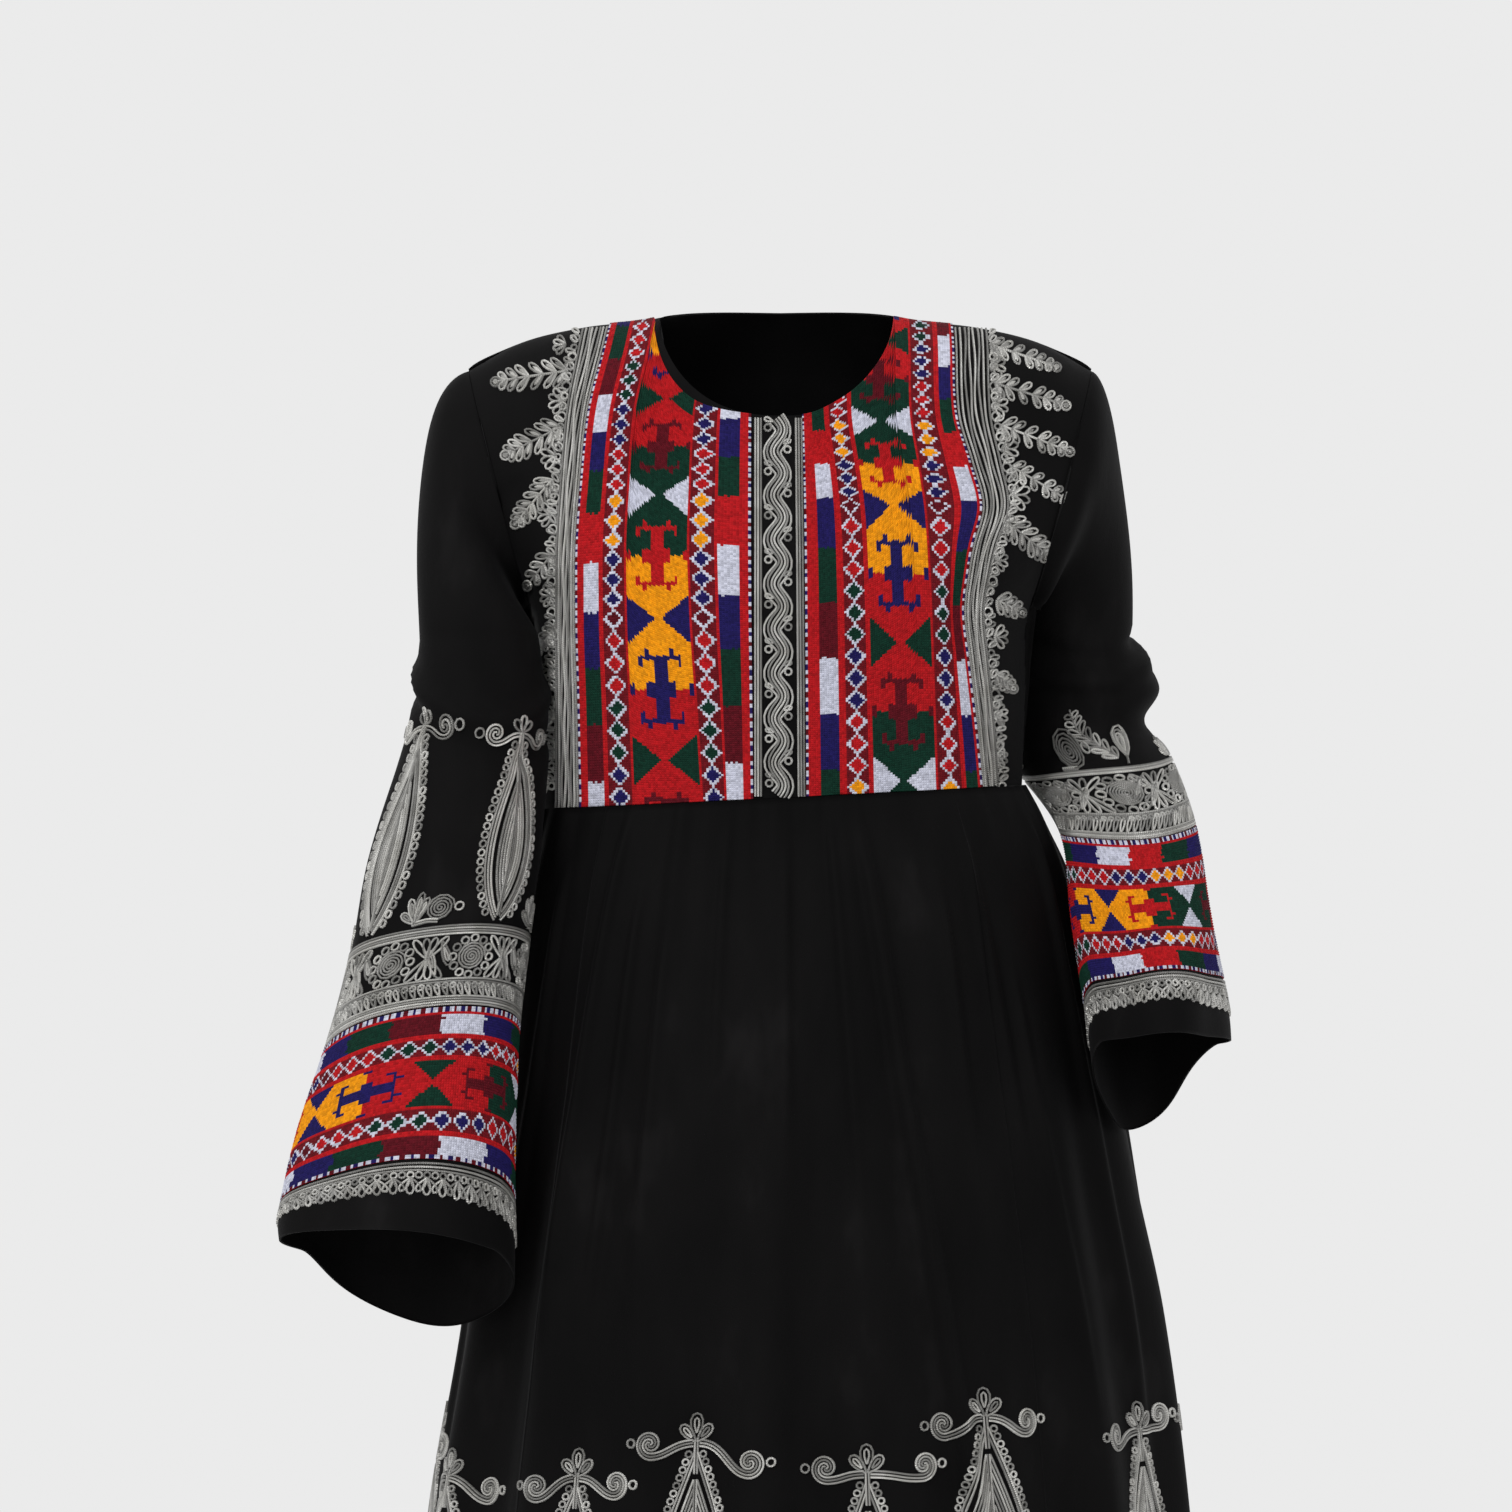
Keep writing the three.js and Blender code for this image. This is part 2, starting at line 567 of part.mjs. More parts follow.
for (const hand of ["right", "left"]) {
  const edges = [lineIndex(hand + "_border_in"), lineIndex(hand + "_placket")];
  const ends = edges.sort((a, b) => a - b);
  const panel = piece(front, ALL_ROWS, ends, BETWEEN);
  const cloth = wallGeometry(panel, LIFT, LIFT + STITCHED);
  add("embroidered_panel_" + hand, clearOf(cloth, frontWall), "embroidery");
}
const placketEdges = [lineIndex("right_placket"), lineIndex("left_placket")];
const placket = piece(front, ALL_ROWS, placketEdges, BETWEEN);
add("placket", clearOf(wallGeometry(placket, LIFT, LIFT + BRAID), frontWall), "braid");

// The view from the front, in which borders and sprays are drawn
const FRONT_VIEW = {
  origin: vector(0, -100, 0),
  right: vector(1, 0, 0),
  up: UP,
  out: vector(0, -1, 0),
};

function shoulderBorder(hand, sprays) {
  const side = hand === "left" ? 1 : -1;
  const outer = FRONT_LINES[lineIndex(hand + "_border_out")];
  const inner = FRONT_LINES[lineIndex(hand + "_border_in")];
  const edge = (line, z, offset) => {
    const low = waistZ(line.waist);
    const rise = (z - low) / (shoulderLine(Math.abs(line.top)) - low);
    return [mix(line.waist, line.top, rise) + offset, z];
  };
  const top = 20;
  const low = waistZ(inner.waist) - 5;
  const strip = [
    edge(outer, low, 0),
    edge(inner, low, side * GAP),
    edge(inner, top, side * GAP),
    edge(outer, top, 0),
  ];
  let shape = prism(strip, FRONT_VIEW, CUT_DEPTHS.border);
  for (const spray of sprays) {
    const root = [spray.rootX, spray.rootZ];
    const leaf = leafOutline(root, [spray.tipX, spray.tipZ], spray.half, 2);
    shape = shape.add(prism(leaf, FRONT_VIEW, CUT_DEPTHS.border));
  }
  const inside = lineIndex(hand + "_border_in");
  const columns = side < 0 ? [0, inside] : [inside, FRONT_LINES.length - 1];
  const sheet = wallGeometry(piece(front, ALL_ROWS, columns), LIFT, LIFT + BRAID);
  const border = geometryOf(solidOf(sheet).intersect(shape));
  add("shoulder_border_" + hand, clearOf(border, frontWall), "braid");
}
shoulderBorder("right", RIGHT_SPRAYS);
shoulderBorder("left", LEFT_SPRAYS);

// Sleeves
const radians = (degrees) => (degrees * Math.PI) / 180;

// A point of a sleeve section: column 0 is the outer line, then front, inner and back
function sectionPoint(section, side, column) {
  const turn = (column / SLEEVE_COLUMNS) * 2 * Math.PI;
  const outer = radians(section.outer);
  const tilt = radians(section.front);
  const lateral = section.half * Math.cos(turn);
  const forward = section.deep * Math.sin(turn);
  const sagged = section.sag * Math.max(Math.cos(turn - 2 * Math.PI * SAG_TURN), 0) ** 1.5;
  return vector(
    section.x + side * Math.cos(outer) * lateral,
    section.y - Math.cos(tilt) * forward,
    section.z - Math.sin(outer) * lateral + Math.sin(tilt) * forward - sagged,
  );
}

// The armhole's ring of points, from the shoulder point down the front and up the back
function armholeRing(side) {
  const column = (grid) => (side < 0 ? 0 : grid.points[0].length - 1);
  const ring = [];
  const take = (grid, j) => ring.push(grid.points[j][column(grid)].clone());
  for (let j = ALL_ROWS[1]; j >= SIDE_ROWS; j -= 1) take(front, j);
  for (let j = SIDE_ROWS + 1; j < ALL_ROWS[1]; j += 1) take(back, j);
  const out = armholeOut(side);
  return ring.map((p, i) => {
    if (i % ARM_ROWS === 0) p.y = 0;
    return p.addScaledVector(out, i === ARM_ROWS ? GAP / 2 : GAP);
  });
}

// The sleeve's rings: the cap from the armhole to the upper arm, then its sections
function sleeveGrid(side, sections, puff) {
  const ring = armholeRing(side);
  const out = armholeOut(side);
  const arm = ring.map((_, i) => sectionPoint(sections[0], side, i));
  const rows = [ring];
  for (const t of CAP_STEPS)
    rows.push(
      ring.map((p, i) => {
        const q = arm[i];
        const span = p.distanceTo(q);
        const above = (1 + Math.cos((i / SLEEVE_COLUMNS) * 2 * Math.PI)) / 2;
        const leave = out.clone().multiplyScalar(span * mix(ARMPIT_PUFF, puff, above));
        const arrive = vector(0, 0, -span * 0.9);
        const h = smooth(t);
        return p
          .clone()
          .lerp(q, h)
          .addScaledVector(leave, t * (1 - t) ** 2)
          .addScaledVector(arrive, -t * t * (1 - t));
      }),
    );
  for (const section of sections) rows.push(ring.map((_, i) => sectionPoint(section, side, i)));
  const normals = normalsOf(rows, true, side < 0);
  const middle = ring[0].clone().add(ring[ARM_ROWS]).multiplyScalar(0.5);
  ring.forEach((p, i) => {
    const half = i % ARM_ROWS === 0 ? 0 : i < ARM_ROWS ? -1 : 1;
    normals[0][i] = armholeNormal(p, middle, out, half);
  });
  return { points: rows, normals };
}

const SLEEVE_TRIMS = [
  { name: "sleeve_braid", from: "braid_top", to: "band_top", finish: "braid", thick: BRAID },
  { name: "cuff_band", from: "band_top", to: "band_low", finish: "embroidery", thick: STITCHED },
  { name: "cuff_braid", from: "band_low", to: "braid_low", finish: "braid", thick: BRAID },
];

function sleeve(hand, side, sections, puff) {
  const grid = sleeveGrid(side, sections, puff);
  const rowOf = (mark) => CAP_STEPS.length + 1 + sections.findIndex((s) => s.mark === mark);
  const wall = wallGeometry(grid, -CLOTH, 0, true);
  add("sleeve_" + hand, wall, "velvet");
  for (const trim of SLEEVE_TRIMS) {
    const rows = [rowOf(trim.from), rowOf(trim.to)];
    const band = piece(grid, rows, [0, SLEEVE_COLUMNS - 1], { low: true, high: true, by: TRIM_INSET });
    const cloth = wallGeometry(band, LIFT, LIFT + trim.thick, true);
    add(trim.name + "_" + hand, clearOf(cloth, wall), trim.finish);
  }
  const motifRows = [rowOf("elbow") - 1, rowOf("braid_top")];
  SLEEVE_MOTIF_TURNS[hand].forEach((turn, i) => {
    const part = sleevePart(grid, turn, motifRows);
    const frame = sleeveMotifFrame(sections, side, turn);
    const sheet = solidOf(wallGeometry(part, LIFT, LIFT + BRAID));
    const cut = hand === "left" && i < 2
      ? elbowPrism(i, frame, CUT_DEPTHS.sleeve)
      : motifPrism(SLEEVE_MOTIF, frame, CUT_DEPTHS.sleeve);
    const raised = geometryOf(sheet.intersect(cut));
    add("sleeve_motif_" + hand + "_" + (i + 1), clearOf(raised, wall), "braid");
  });
}

// The leaf or the curl that stands on the braid at the elbow
function elbowPrism(number, frame, depth) {
  const { lean, low, high, half } = ELBOW_LEAF;
  const { radius, rise } = ELBOW_CURL;
  const outline = number === 0
    ? leafOutline([0, frame.foot + low], [-lean, frame.foot + high], half, 2)
    : roundOutline(0, frame.foot + rise, radius, 9);
  return prism(outline, frame, depth);
}

// Half of the sleeve's ring round a turn, as an open grid
function sleevePart(grid, turn, rows) {
  const wide = SLEEVE_COLUMNS / 4;
  const first = Math.round(turn * SLEEVE_COLUMNS) - wide;
  const around = (row) =>
    Array.from({ length: 2 * wide + 1 }, (_, k) => row.at((first + k) % SLEEVE_COLUMNS));
  const half = { points: grid.points.map(around), normals: grid.normals.map(around) };
  return piece(half, rows, [0, 2 * wide], { high: true, by: TRIM_INSET });
}

// The frame of a sleeve motif, with its origin at the finial's tip and its foot on the braid
function sleeveMotifFrame(sections, side, turn) {
  const placeAt = (mark) => {
    const section = sections.find((s) => s.mark === mark);
    return sectionPoint(section, side, turn * SLEEVE_COLUMNS);
  };
  const above = 12;
  const low = placeAt("braid_top");
  const high = placeAt("motif_top");
  const top = sections.find((s) => s.mark === "motif_top");
  const up = high.clone().sub(low).normalize();
  const out = without(high.clone().sub(vector(top.x, top.y, high.z)), up);
  const tall = SLEEVE_MOTIF.cypress.from + SLEEVE_MOTIF.cypress.tall;
  const reach = Math.min(tall, high.distanceTo(low) + above);
  const origin = low.clone().addScaledVector(up, reach);
  return { origin, right: up.clone().cross(out), up, out, foot: -reach };
}

sleeve("right", -1, RIGHT_SLEEVE, RIGHT_PUFF);
sleeve("left", 1, LEFT_SLEEVE, LEFT_PUFF);

// Skirt
const skirt = {
  left: curve(SKIRT, "drop", "left"),
  right: curve(SKIRT, "drop", "right"),
  front: curve(SKIRT, "drop", "front"),
  back: curve(SKIRT, "drop", "back"),
};

// The base ring at a drop, as points spaced evenly along its length from the front middle
function baseRing(drop, count) {
  const fine = 720;
  const power = mix(SECTION_POWER, 2, clamp(drop / 200, 0, 1));
  const outline = [];
  for (let i = 0; i <= fine; i += 1) {
    const turn = (i / fine) * 2 * Math.PI;
    const s = Math.sin(turn);
    const c = Math.cos(turn);
    const reach = s > 0 ? skirt.right(drop) : -skirt.left(drop);
    const depth = c > 0 ? skirt.front(drop) : skirt.back(drop);
    const x = Math.sign(s) * reach * Math.abs(s) ** (2 / power);
    const y = -Math.sign(c) * depth * Math.abs(c) ** (2 / power);
    outline.push(vector(x, y, 0));
  }
  const lengths = [0];
  for (let i = 1; i <= fine; i += 1) {
    lengths.push(lengths[i - 1] + outline[i].distanceTo(outline[i - 1]));
  }
  const points = [];
  let k = 0;
  for (let i = 0; i < count; i += 1) {
    const target = (i / count) * lengths[fine];
    while (lengths[k + 1] < target) k += 1;
    const t = (target - lengths[k]) / (lengths[k + 1] - lengths[k]);
    const tangent = outline[k + 1].clone().sub(outline[k]).normalize();
    points.push({
      place: outline[k].clone().lerp(outline[k + 1], t),
      out: vector(tangent.y, -tangent.x, 0),
    });
  }
  return points;
}

const turnsApart = (a, b) => a - b - Math.round(a - b);

// How far the folds and gathers stand out at a place round the skirt
function foldDepth(turn, drop, index) {
  const grown = clamp(drop / (waistZ(0) - HEM_Z), 0, 1);
  let depth = 0;
  for (const fold of FOLDS) {
    const away = Math.abs(turnsApart(turn, mix(fold.waist, fold.hem, grown))) / fold.width;
    if (away < 1) depth += fold.depth * smooth(1 - away);
  }
  const gather = index % 2 ? GATHER_DEPTH : 0;
  return depth * grown ** 0.75 - 6 * grown + gather * Math.exp(-drop / GATHER_FADE);
}

function skirtGrid() {
  const points = SKIRT_DROPS.map((drop) =>
    baseRing(drop, SKIRT_COLUMNS).map(({ place, out }, i) => {
      const p = place.clone().addScaledVector(out, foldDepth(i / SKIRT_COLUMNS, drop, i));
      const hemward = drop / SKIRT_DROPS.at(-1);
      p.z = mix(waistZ(place.x) - GAP / 2, HEM_Z, hemward);
      return p;
    }),
  );
  const normals = normalsOf(points, true, true);
  normals[0] = normals[0].map((n) => without(n, UP));
  return { points, normals };
}

const skirtCloth = skirtGrid();

// Part of the skirt's ring as an open grid, from one turn to another
function skirtPart(from, to) {
  const first = Math.round(from * SKIRT_COLUMNS);
  const count = Math.round((to - from) * SKIRT_COLUMNS) + 1;
  const pick = (row) =>
    Array.from({ length: count }, (_, i) => row[(first + i + SKIRT_COLUMNS) % SKIRT_COLUMNS]);
  return { points: skirtCloth.points.map(pick), normals: skirtCloth.normals.map(pick) };
}

const skirtWall = wallGeometry(skirtCloth, -CLOTH, 0, true);
for (const { name, from, to } of SKIRT_PANELS) {
  const cloth = skirtPart(from, to);
  const cut = piece(cloth, [0, SKIRT_DROPS.length - 1], [0, cloth.points[0].length - 1], BETWEEN);
  add(name, wallGeometry(cut, -CLOTH, 0), "velvet");
}

// Skirt motifs
for (const { name, turn, rise } of MOTIFS) {
  const stretch = skirtPart(turn - MOTIF_REACH, turn + MOTIF_REACH);
  const part = piece(stretch, SKIRT_ROWS_CROSSED, [0, stretch.points[0].length - 1]);
  const drop = MOTIF_DROP - rise;
  const tall = 200;
  const step = Math.round((turn + 1) * RING_STEPS) % RING_STEPS;
  const { place, out } = baseRing(drop, RING_STEPS)[step];
  const low = baseRing(drop + tall, RING_STEPS)[step].place;
  const up = vector(place.x - low.x, place.y - low.y, tall).normalize();
  const facing = without(out, up);
  const origin = vector(place.x, place.y, waistZ(place.x) - drop);
  const frame = { origin, right: up.clone().cross(facing), up, out: facing };
  const sheet = solidOf(wallGeometry(part, LIFT, LIFT + BRAID));
  const raised = geometryOf(sheet.intersect(motifPrism(SKIRT_MOTIF, frame, CUT_DEPTHS.skirt)));
  add("skirt_motif_" + name, clearOf(raised, skirtWall), "braid");
}

export default dress;
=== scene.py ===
import math

import bpy
import numpy as np
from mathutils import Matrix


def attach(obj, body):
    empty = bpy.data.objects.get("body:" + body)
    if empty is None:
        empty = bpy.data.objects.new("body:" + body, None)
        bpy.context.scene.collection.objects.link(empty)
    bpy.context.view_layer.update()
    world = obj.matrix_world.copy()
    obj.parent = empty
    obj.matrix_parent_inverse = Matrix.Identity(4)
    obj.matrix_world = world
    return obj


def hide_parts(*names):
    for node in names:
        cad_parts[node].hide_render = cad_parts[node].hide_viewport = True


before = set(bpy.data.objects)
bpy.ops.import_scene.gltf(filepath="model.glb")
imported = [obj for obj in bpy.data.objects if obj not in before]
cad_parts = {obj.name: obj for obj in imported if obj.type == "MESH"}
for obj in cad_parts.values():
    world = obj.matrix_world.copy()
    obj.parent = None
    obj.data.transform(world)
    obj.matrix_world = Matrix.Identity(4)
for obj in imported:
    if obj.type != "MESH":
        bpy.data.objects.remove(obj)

# Black velvet dress in the Afghan style. Sizes are in millimetres until a mesh is made.
# +Z is up, the front faces -Y and +X is the wearer's left.
MM = 0.001
RANDOM = np.random.default_rng(1807)


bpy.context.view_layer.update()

# Driving sizes of the garment
VELVET_WALL = 1.3
HEM_Z = -1350.0
NECK_HALF = 86.0
NECK_DROP = 75.0
NECK_POWER = 2.4
NECK_ROUNDING = 0.55
BACK_NECK_RISE = 7.0
BACK_NECK_POWER = 4
SHOULDER_ROLL = 62.0
SECTION_POWER = 2.3
WAIST_MIDDLE = -342.0
WAIST_SLOPE = 0.05
ARMHOLE_TOP = (222.0, -38.0)
ARMHOLE_LOW = (178.0, -207.0)
SIDE_ROWS = 4
ARM_ROWS = 10
TOP_ROW = SIDE_ROWS + ARM_ROWS
SEAM_GAP = 0.3
TORSO_MIDDLE = np.array([0, 0, -180])

# Torso sections: height, reach to the right and left, depth to the front and back
TORSO = np.array([
    (40, -252, 252, 50, 62),
    (0, -250, 250, 62, 66),
    (-60, -246, 246, 86, 80),
    (-120, -236, 236, 106, 90),
    (-170, -202, 202, 120, 92),
    (-207, -178, 178, 124, 90),
    (-270, -174, 175, 116, 86),
    (-355, -173, 172, 106, 86),
], float)

SHOULDER = np.array([(0, 26), (45, 16), (86, 0), (140, -7), (185, -18), (222, -38)], float)

# Lines up the front and the back: place across at the waist and at the top
FRONT_LINES = np.array([
    (-173, -222), (-167, -180), (-159, -139), (-141, -118), (-112, -86), (-98, -79),
    (-80, -64), (-49, -41), (-19, -19), (18, 16), (49, 40), (80, 63), (97, 79), (110, 86),
    (142, 125), (154, 147), (165, 184), (172, 222),
], float)
RIGHT_BORDER_OUT, RIGHT_BORDER_IN, RIGHT_PLACKET = 2, 3, 8
LEFT_PLACKET, LEFT_BORDER_IN, LEFT_BORDER_OUT = 9, 14, 15
BACK_LINES = np.array([
    (-173, -222), (-160, -180), (-128, -135), (-86, -86), (-50, -48), (-7, 0),
    (40, 48), (78, 86), (118, 135), (158, 180), (172, 222),
], float)

# Sleeve sections: height, centre, half width and depth, tilts of the outer and front ends, and
# how far the inner back sags below the rest
RIGHT_SLEEVE = np.array([
    (-232, -213, -48, 42, 44, 0, 4, 0),
    (-287, -213, -62, 49, 46, 0, 6, 0),
    (-318, -216, -66, 53, 48, 1, 8, 0),
    (-385, -228, -74, 61, 53, 4, 12, 0),
    (-446, -239, -82, 63, 56, 7, 17, 0),
    (-509, -251, -92, 68, 60, 9, 21, 2),
    (-565, -259, -106, 75, 63, 8, 25, 6),
    (-621, -265, -122, 79, 66, 5, 28, 14),
    (-640, -266, -129, 79, 67, 0, 24, 25),
    (-655, -266, -134, 78, 67, -4, 17, 38),
], float)
LEFT_SLEEVE = np.array([
    (-228, 212, 48, 43, 48, 0, -8, 0),
    (-262, 220, 58, 56, 54, 0, -6, 0),
    (-288, 214, 60, 51, 54, -3, -4, 0),
    (-303, 218, 56, 53, 55, -5, -3, 0),
    (-320, 227, 40, 54, 54, -7, -3, 0),
    (-364, 246, -26, 47, 54, -3, -8, 4),
    (-418, 254, -62, 47, 57, -2, 0, 14),
    (-471, 261, -90, 47, 59, -3, 9, 30),
    (-495, 263, -101, 47, 61, -2, 12, 44),
    (-512, 264, -109, 46, 62, -2, 8, 56),
], float)
SAG_TURN = 0.68
ARMPIT_PUFF = 1.1
RIGHT_PUFF = 0.66
LEFT_PUFF = 0.3
# Sleeve rows of the bands, where the cap ends at row 1 with the first section of its table
ROW_BRAID_TOP, ROW_BAND_TOP, ROW_BAND_LOW, ROW_BRAID_LOW = 5, 6, 8, 9
LAST_ROW = 10

# Skirt sections: drop below the waist, reach to the right and left, depth to front and back
SKIRT = np.array([
    (0, -173, 172, 106, 86),
    (22, -176, 184, 110, 92),
    (60, -182, 200, 120, 102),
    (118, -190, 215, 132, 116),
    (225, -205, 240, 150, 134),
    (289, -214, 252, 158, 144),
    (375, -225, 269, 168, 154),
    (512, -247, 283, 180, 168),
    (760, -270, 298, 196, 184),
    (1009, -284, 306, 206, 194),
], float)
SKIRT_LENGTH = 1009.0

# Large folds: place in turns at the waist and the hem, half width in turns, depth at the hem
FOLDS = np.array([
    (-0.465, -0.46, 0.032, 24),
    (-0.395, -0.392, 0.026, 20),
    (-0.325, -0.33, 0.034, 26),
    (-0.255, -0.262, 0.026, 18),
    (-0.19, -0.2, 0.03, 24),
    (-0.125, -0.13, 0.028, 20),
    (-0.07, -0.066, 0.026, 15),
    (-0.01, -0.012, 0.024, 12),
    (0.045, 0.062, 0.032, 26),
    (0.105, 0.125, 0.026, 14),
    (0.165, 0.185, 0.028, 22),
    (0.235, 0.248, 0.03, 22),
    (0.305, 0.308, 0.028, 20),
    (0.37, 0.372, 0.03, 26),
    (0.435, 0.434, 0.026, 20),
], float)
SKIRT_SEAMS = [
    ("skirt_front", -5 / 36, 5 / 36),
    ("skirt_left_side", 5 / 36, 13 / 36),
    ("skirt_back", 13 / 36, 23 / 36),
    ("skirt_right_side", 23 / 36, 31 / 36),
]


# Curves and surfaces
def mix(a, b, t):
    return a + (b - a) * t


def smooth(t):
    return t * t * (3 - 2 * t)


def ramp(value, low, high):
    return smooth(np.clip((value - low) / (high - low), 0, 1))


def curve(table, column):
    """A smooth curve through one column of a table against its first."""
    rows = table[np.argsort(table[:, 0])]
    xs = rows[:, 0]
    ys = rows[:, column]
    last = len(xs) - 1
    before = np.maximum(np.arange(last + 1) - 1, 0)
    after = np.minimum(np.arange(last + 1) + 1, last)
    slopes = (ys[after] - ys[before]) / (xs[after] - xs[before])

    def value(at):
        x = np.clip(at, xs[0], xs[-1])
        i = np.clip(np.searchsorted(xs, x, side="right") - 1, 0, last - 1)
        width = xs[i + 1] - xs[i]
        t = (x - xs[i]) / width
        rise = t * (1 - t) ** 2 * slopes[i] - t * t * (1 - t) * slopes[i + 1]
        return mix(ys[i], ys[i + 1], smooth(t)) + rise * width

    return value


def points_of(x, y, z):
    x, y, z = np.broadcast_arrays(x, y, z)
    return np.stack([x, y, z], axis=-1).astype(float)


def unit(v):
    return v / np.maximum(np.linalg.norm(v, axis=-1, keepdims=True), 1e-9)


def bump(value, centre, half):
    """A soft hill of height one and the given half width."""
    away = np.clip(np.abs(value - centre) / half, 0, 1)
    return smooth(1 - away)


TORSO_RIGHT = curve(TORSO, 1)
TORSO_LEFT = curve(TORSO, 2)
TORSO_FRONT = curve(TORSO, 3)
TORSO_BACK = curve(TORSO, 4)
SHOULDER_LINE = curve(SHOULDER, 1)


def torso_form(x, z, side):
    """The torso without creases, where side is -1 in front and 1 behind."""
    reach = np.where(x < 0, TORSO_RIGHT(z), TORSO_LEFT(z))
    across = np.minimum(np.abs(x / reach), 1)
    rounding = (1 - across ** SECTION_POWER) ** (1 / SECTION_POWER)
    depth = TORSO_FRONT(z) if side < 0 else TORSO_BACK(z)
    below = np.clip((SHOULDER_LINE(np.abs(x)) - z) / SHOULDER_ROLL, 0, 1)
    roll = np.sqrt(1 - (1 - below) ** 2)
    return points_of(x, side * depth * rounding * roll, z)


def waist_z(x):
    return WAIST_MIDDLE + WAIST_SLOPE * x


def front_top(x):
    across = np.abs(x) / NECK_HALF
    neck = -NECK_DROP * np.maximum(1 - across ** NECK_POWER, 0) ** NECK_ROUNDING
    return np.where(across >= 1, SHOULDER_LINE(np.abs(x)), neck)


def back_top(x):
    across = np.abs(x) / NECK_HALF
    neck = BACK_NECK_RISE * (1 - across ** BACK_NECK_POWER)
    return np.where(across >= 1, SHOULDER_LINE(np.abs(x)), neck)


def armhole_x(z):
    slope = (ARMHOLE_TOP[0] - ARMHOLE_LOW[0]) / (ARMHOLE_TOP[1] - ARMHOLE_LOW[1])
    return ARMHOLE_LOW[0] + slope * (z - ARMHOLE_LOW[1])


def line_ends(lines, number):
    """Places across at the waist and the top of a line, which may fall between two."""
    numbers = np.arange(len(lines))
    return np.interp(number, numbers, lines[:, 0]), np.interp(number, numbers, lines[:, 1])


def torso_place(lines, top_of, u, row):
    """Place across and height on a torso side, by line number and row number."""
    waist, crest = line_ends(lines, u)
    top = top_of(crest)
    low = waist_z(waist)
    eased = np.sin(np.clip((row - SIDE_ROWS) / ARM_ROWS, 0, 1) * math.pi / 2)
    z = np.where(
        row > SIDE_ROWS,
        mix(ARMHOLE_LOW[1], top, eased),
        mix(low, ARMHOLE_LOW[1], np.clip(row / SIDE_ROWS, 0, 1)),
    )
    x = mix(waist, crest, (z - low) / (top - low))
    for edge, hand, reach in ((0, -1, TORSO_RIGHT), (len(lines) - 1, 1, TORSO_LEFT)):
        nearness = np.clip(1 - np.abs(u - edge), 0, 1)
        seam = np.where(row > SIDE_ROWS, hand * armhole_x(z), reach(z))
        x = np.where(nearness > 0, mix(x, seam, nearness ** 3), x)
    return x, z


def torso_creases(x, z, side):
    """Small soft creases of the bodice, in millimetres out of the form."""
    pull = 1.1 * np.sin(x * 0.047 + z * 0.031) * np.sin(z * 0.043 - x * 0.012 + side)
    waist = 0.9 * np.sin(x * 0.16 + 1.3 * side) * ramp(z, -250, -345)
    underarm = 3.2 * bump(z + 0.5 * np.abs(x), -118, 12) * ramp(np.abs(x), 150, 185)
    chest = -2.4 * bump(z - 0.35 * x, -62, 15) * ramp(np.abs(x), 150, 200)
    return (pull + waist + underarm + chest) * ramp(z, 10, -60)


def torso_point(x, z, side):
    form = torso_form(x, z, side)
    out = torso_creases(x, z, side)
    form[..., 1] += side * out * ramp(np.abs(form[..., 1]), 4, 30)
    return form


def surface_normal(surface, a, b, step_a, step_b, side=1):
    """The unit normal of a surface of two parameters, by small steps."""
    along = surface(a + step_a, b) - surface(a - step_a, b)
    across = surface(a, b + step_b) - surface(a, b - step_b)
    return unit(np.cross(along, across)) * side


def front_point(x, z):
    return torso_point(x, z, -1)


def front_normal(x, z):
    return surface_normal(front_point, x, z, 0.6, 0.6)


# How far the trims of the front are drawn aside at a height: the wearer's right panel and its
# border, the left panel, and the left panel's outer edge with its border
RIGHT_PULL = curve(np.array([
    (30, 0), (-23, -5), (-73, -12.5), (-130, -14), (-165, -14), (-201, -12), (-230, -10),
    (-273, -6), (-345, 0),
], float), 1)
LEFT_PULL = curve(np.array([
    (30, -4), (-20, -6), (-73, -8), (-110, -4), (-141, -1), (-180, 0), (-345, 0),
], float), 1)
LEFT_EDGE_PULL = curve(np.array([
    (30, 4), (-20, 3), (-73, 3), (-107, 7), (-138, 10), (-165, 1), (-181, -3), (-211, -8),
    (-245, -6), (-300, -2), (-345, 0),
], float), 1)


def panel_pull(hand, across, z):
    """Shift of a panel's place at a height, where across is 0 at the placket and 1 outside."""
    if hand == "right":
        return RIGHT_PULL(z) * ramp(across, -0.08, 0.3)
    return LEFT_PULL(z) * ramp(across, -0.08, 0.3) + LEFT_EDGE_PULL(z) * ramp(across, 0.78, 1)


def armhole_ring(hand, turn):
    """The armhole from the shoulder point down the front and up the back."""
    turn = np.asarray(turn, float) % 1
    front_row = TOP_ROW - 2 * ARM_ROWS * turn
    back_row = SIDE_ROWS + 2 * ARM_ROWS * (turn - 0.5)
    row = np.where(turn <= 0.5, front_row, back_row)
    edge = len(FRONT_LINES) - 1 if hand > 0 else 0
    x, z = torso_place(FRONT_LINES, front_top, np.full_like(row, edge), row)
    front = torso_form(x, z, -1)
    back = torso_form(x, z, 1)
    return np.where((turn <= 0.5)[..., None], front, back)


ARM_OUT = unit(np.array([
    ARMHOLE_TOP[1] - ARMHOLE_LOW[1],
    0,
    ARMHOLE_LOW[0] - ARMHOLE_TOP[0],
]))


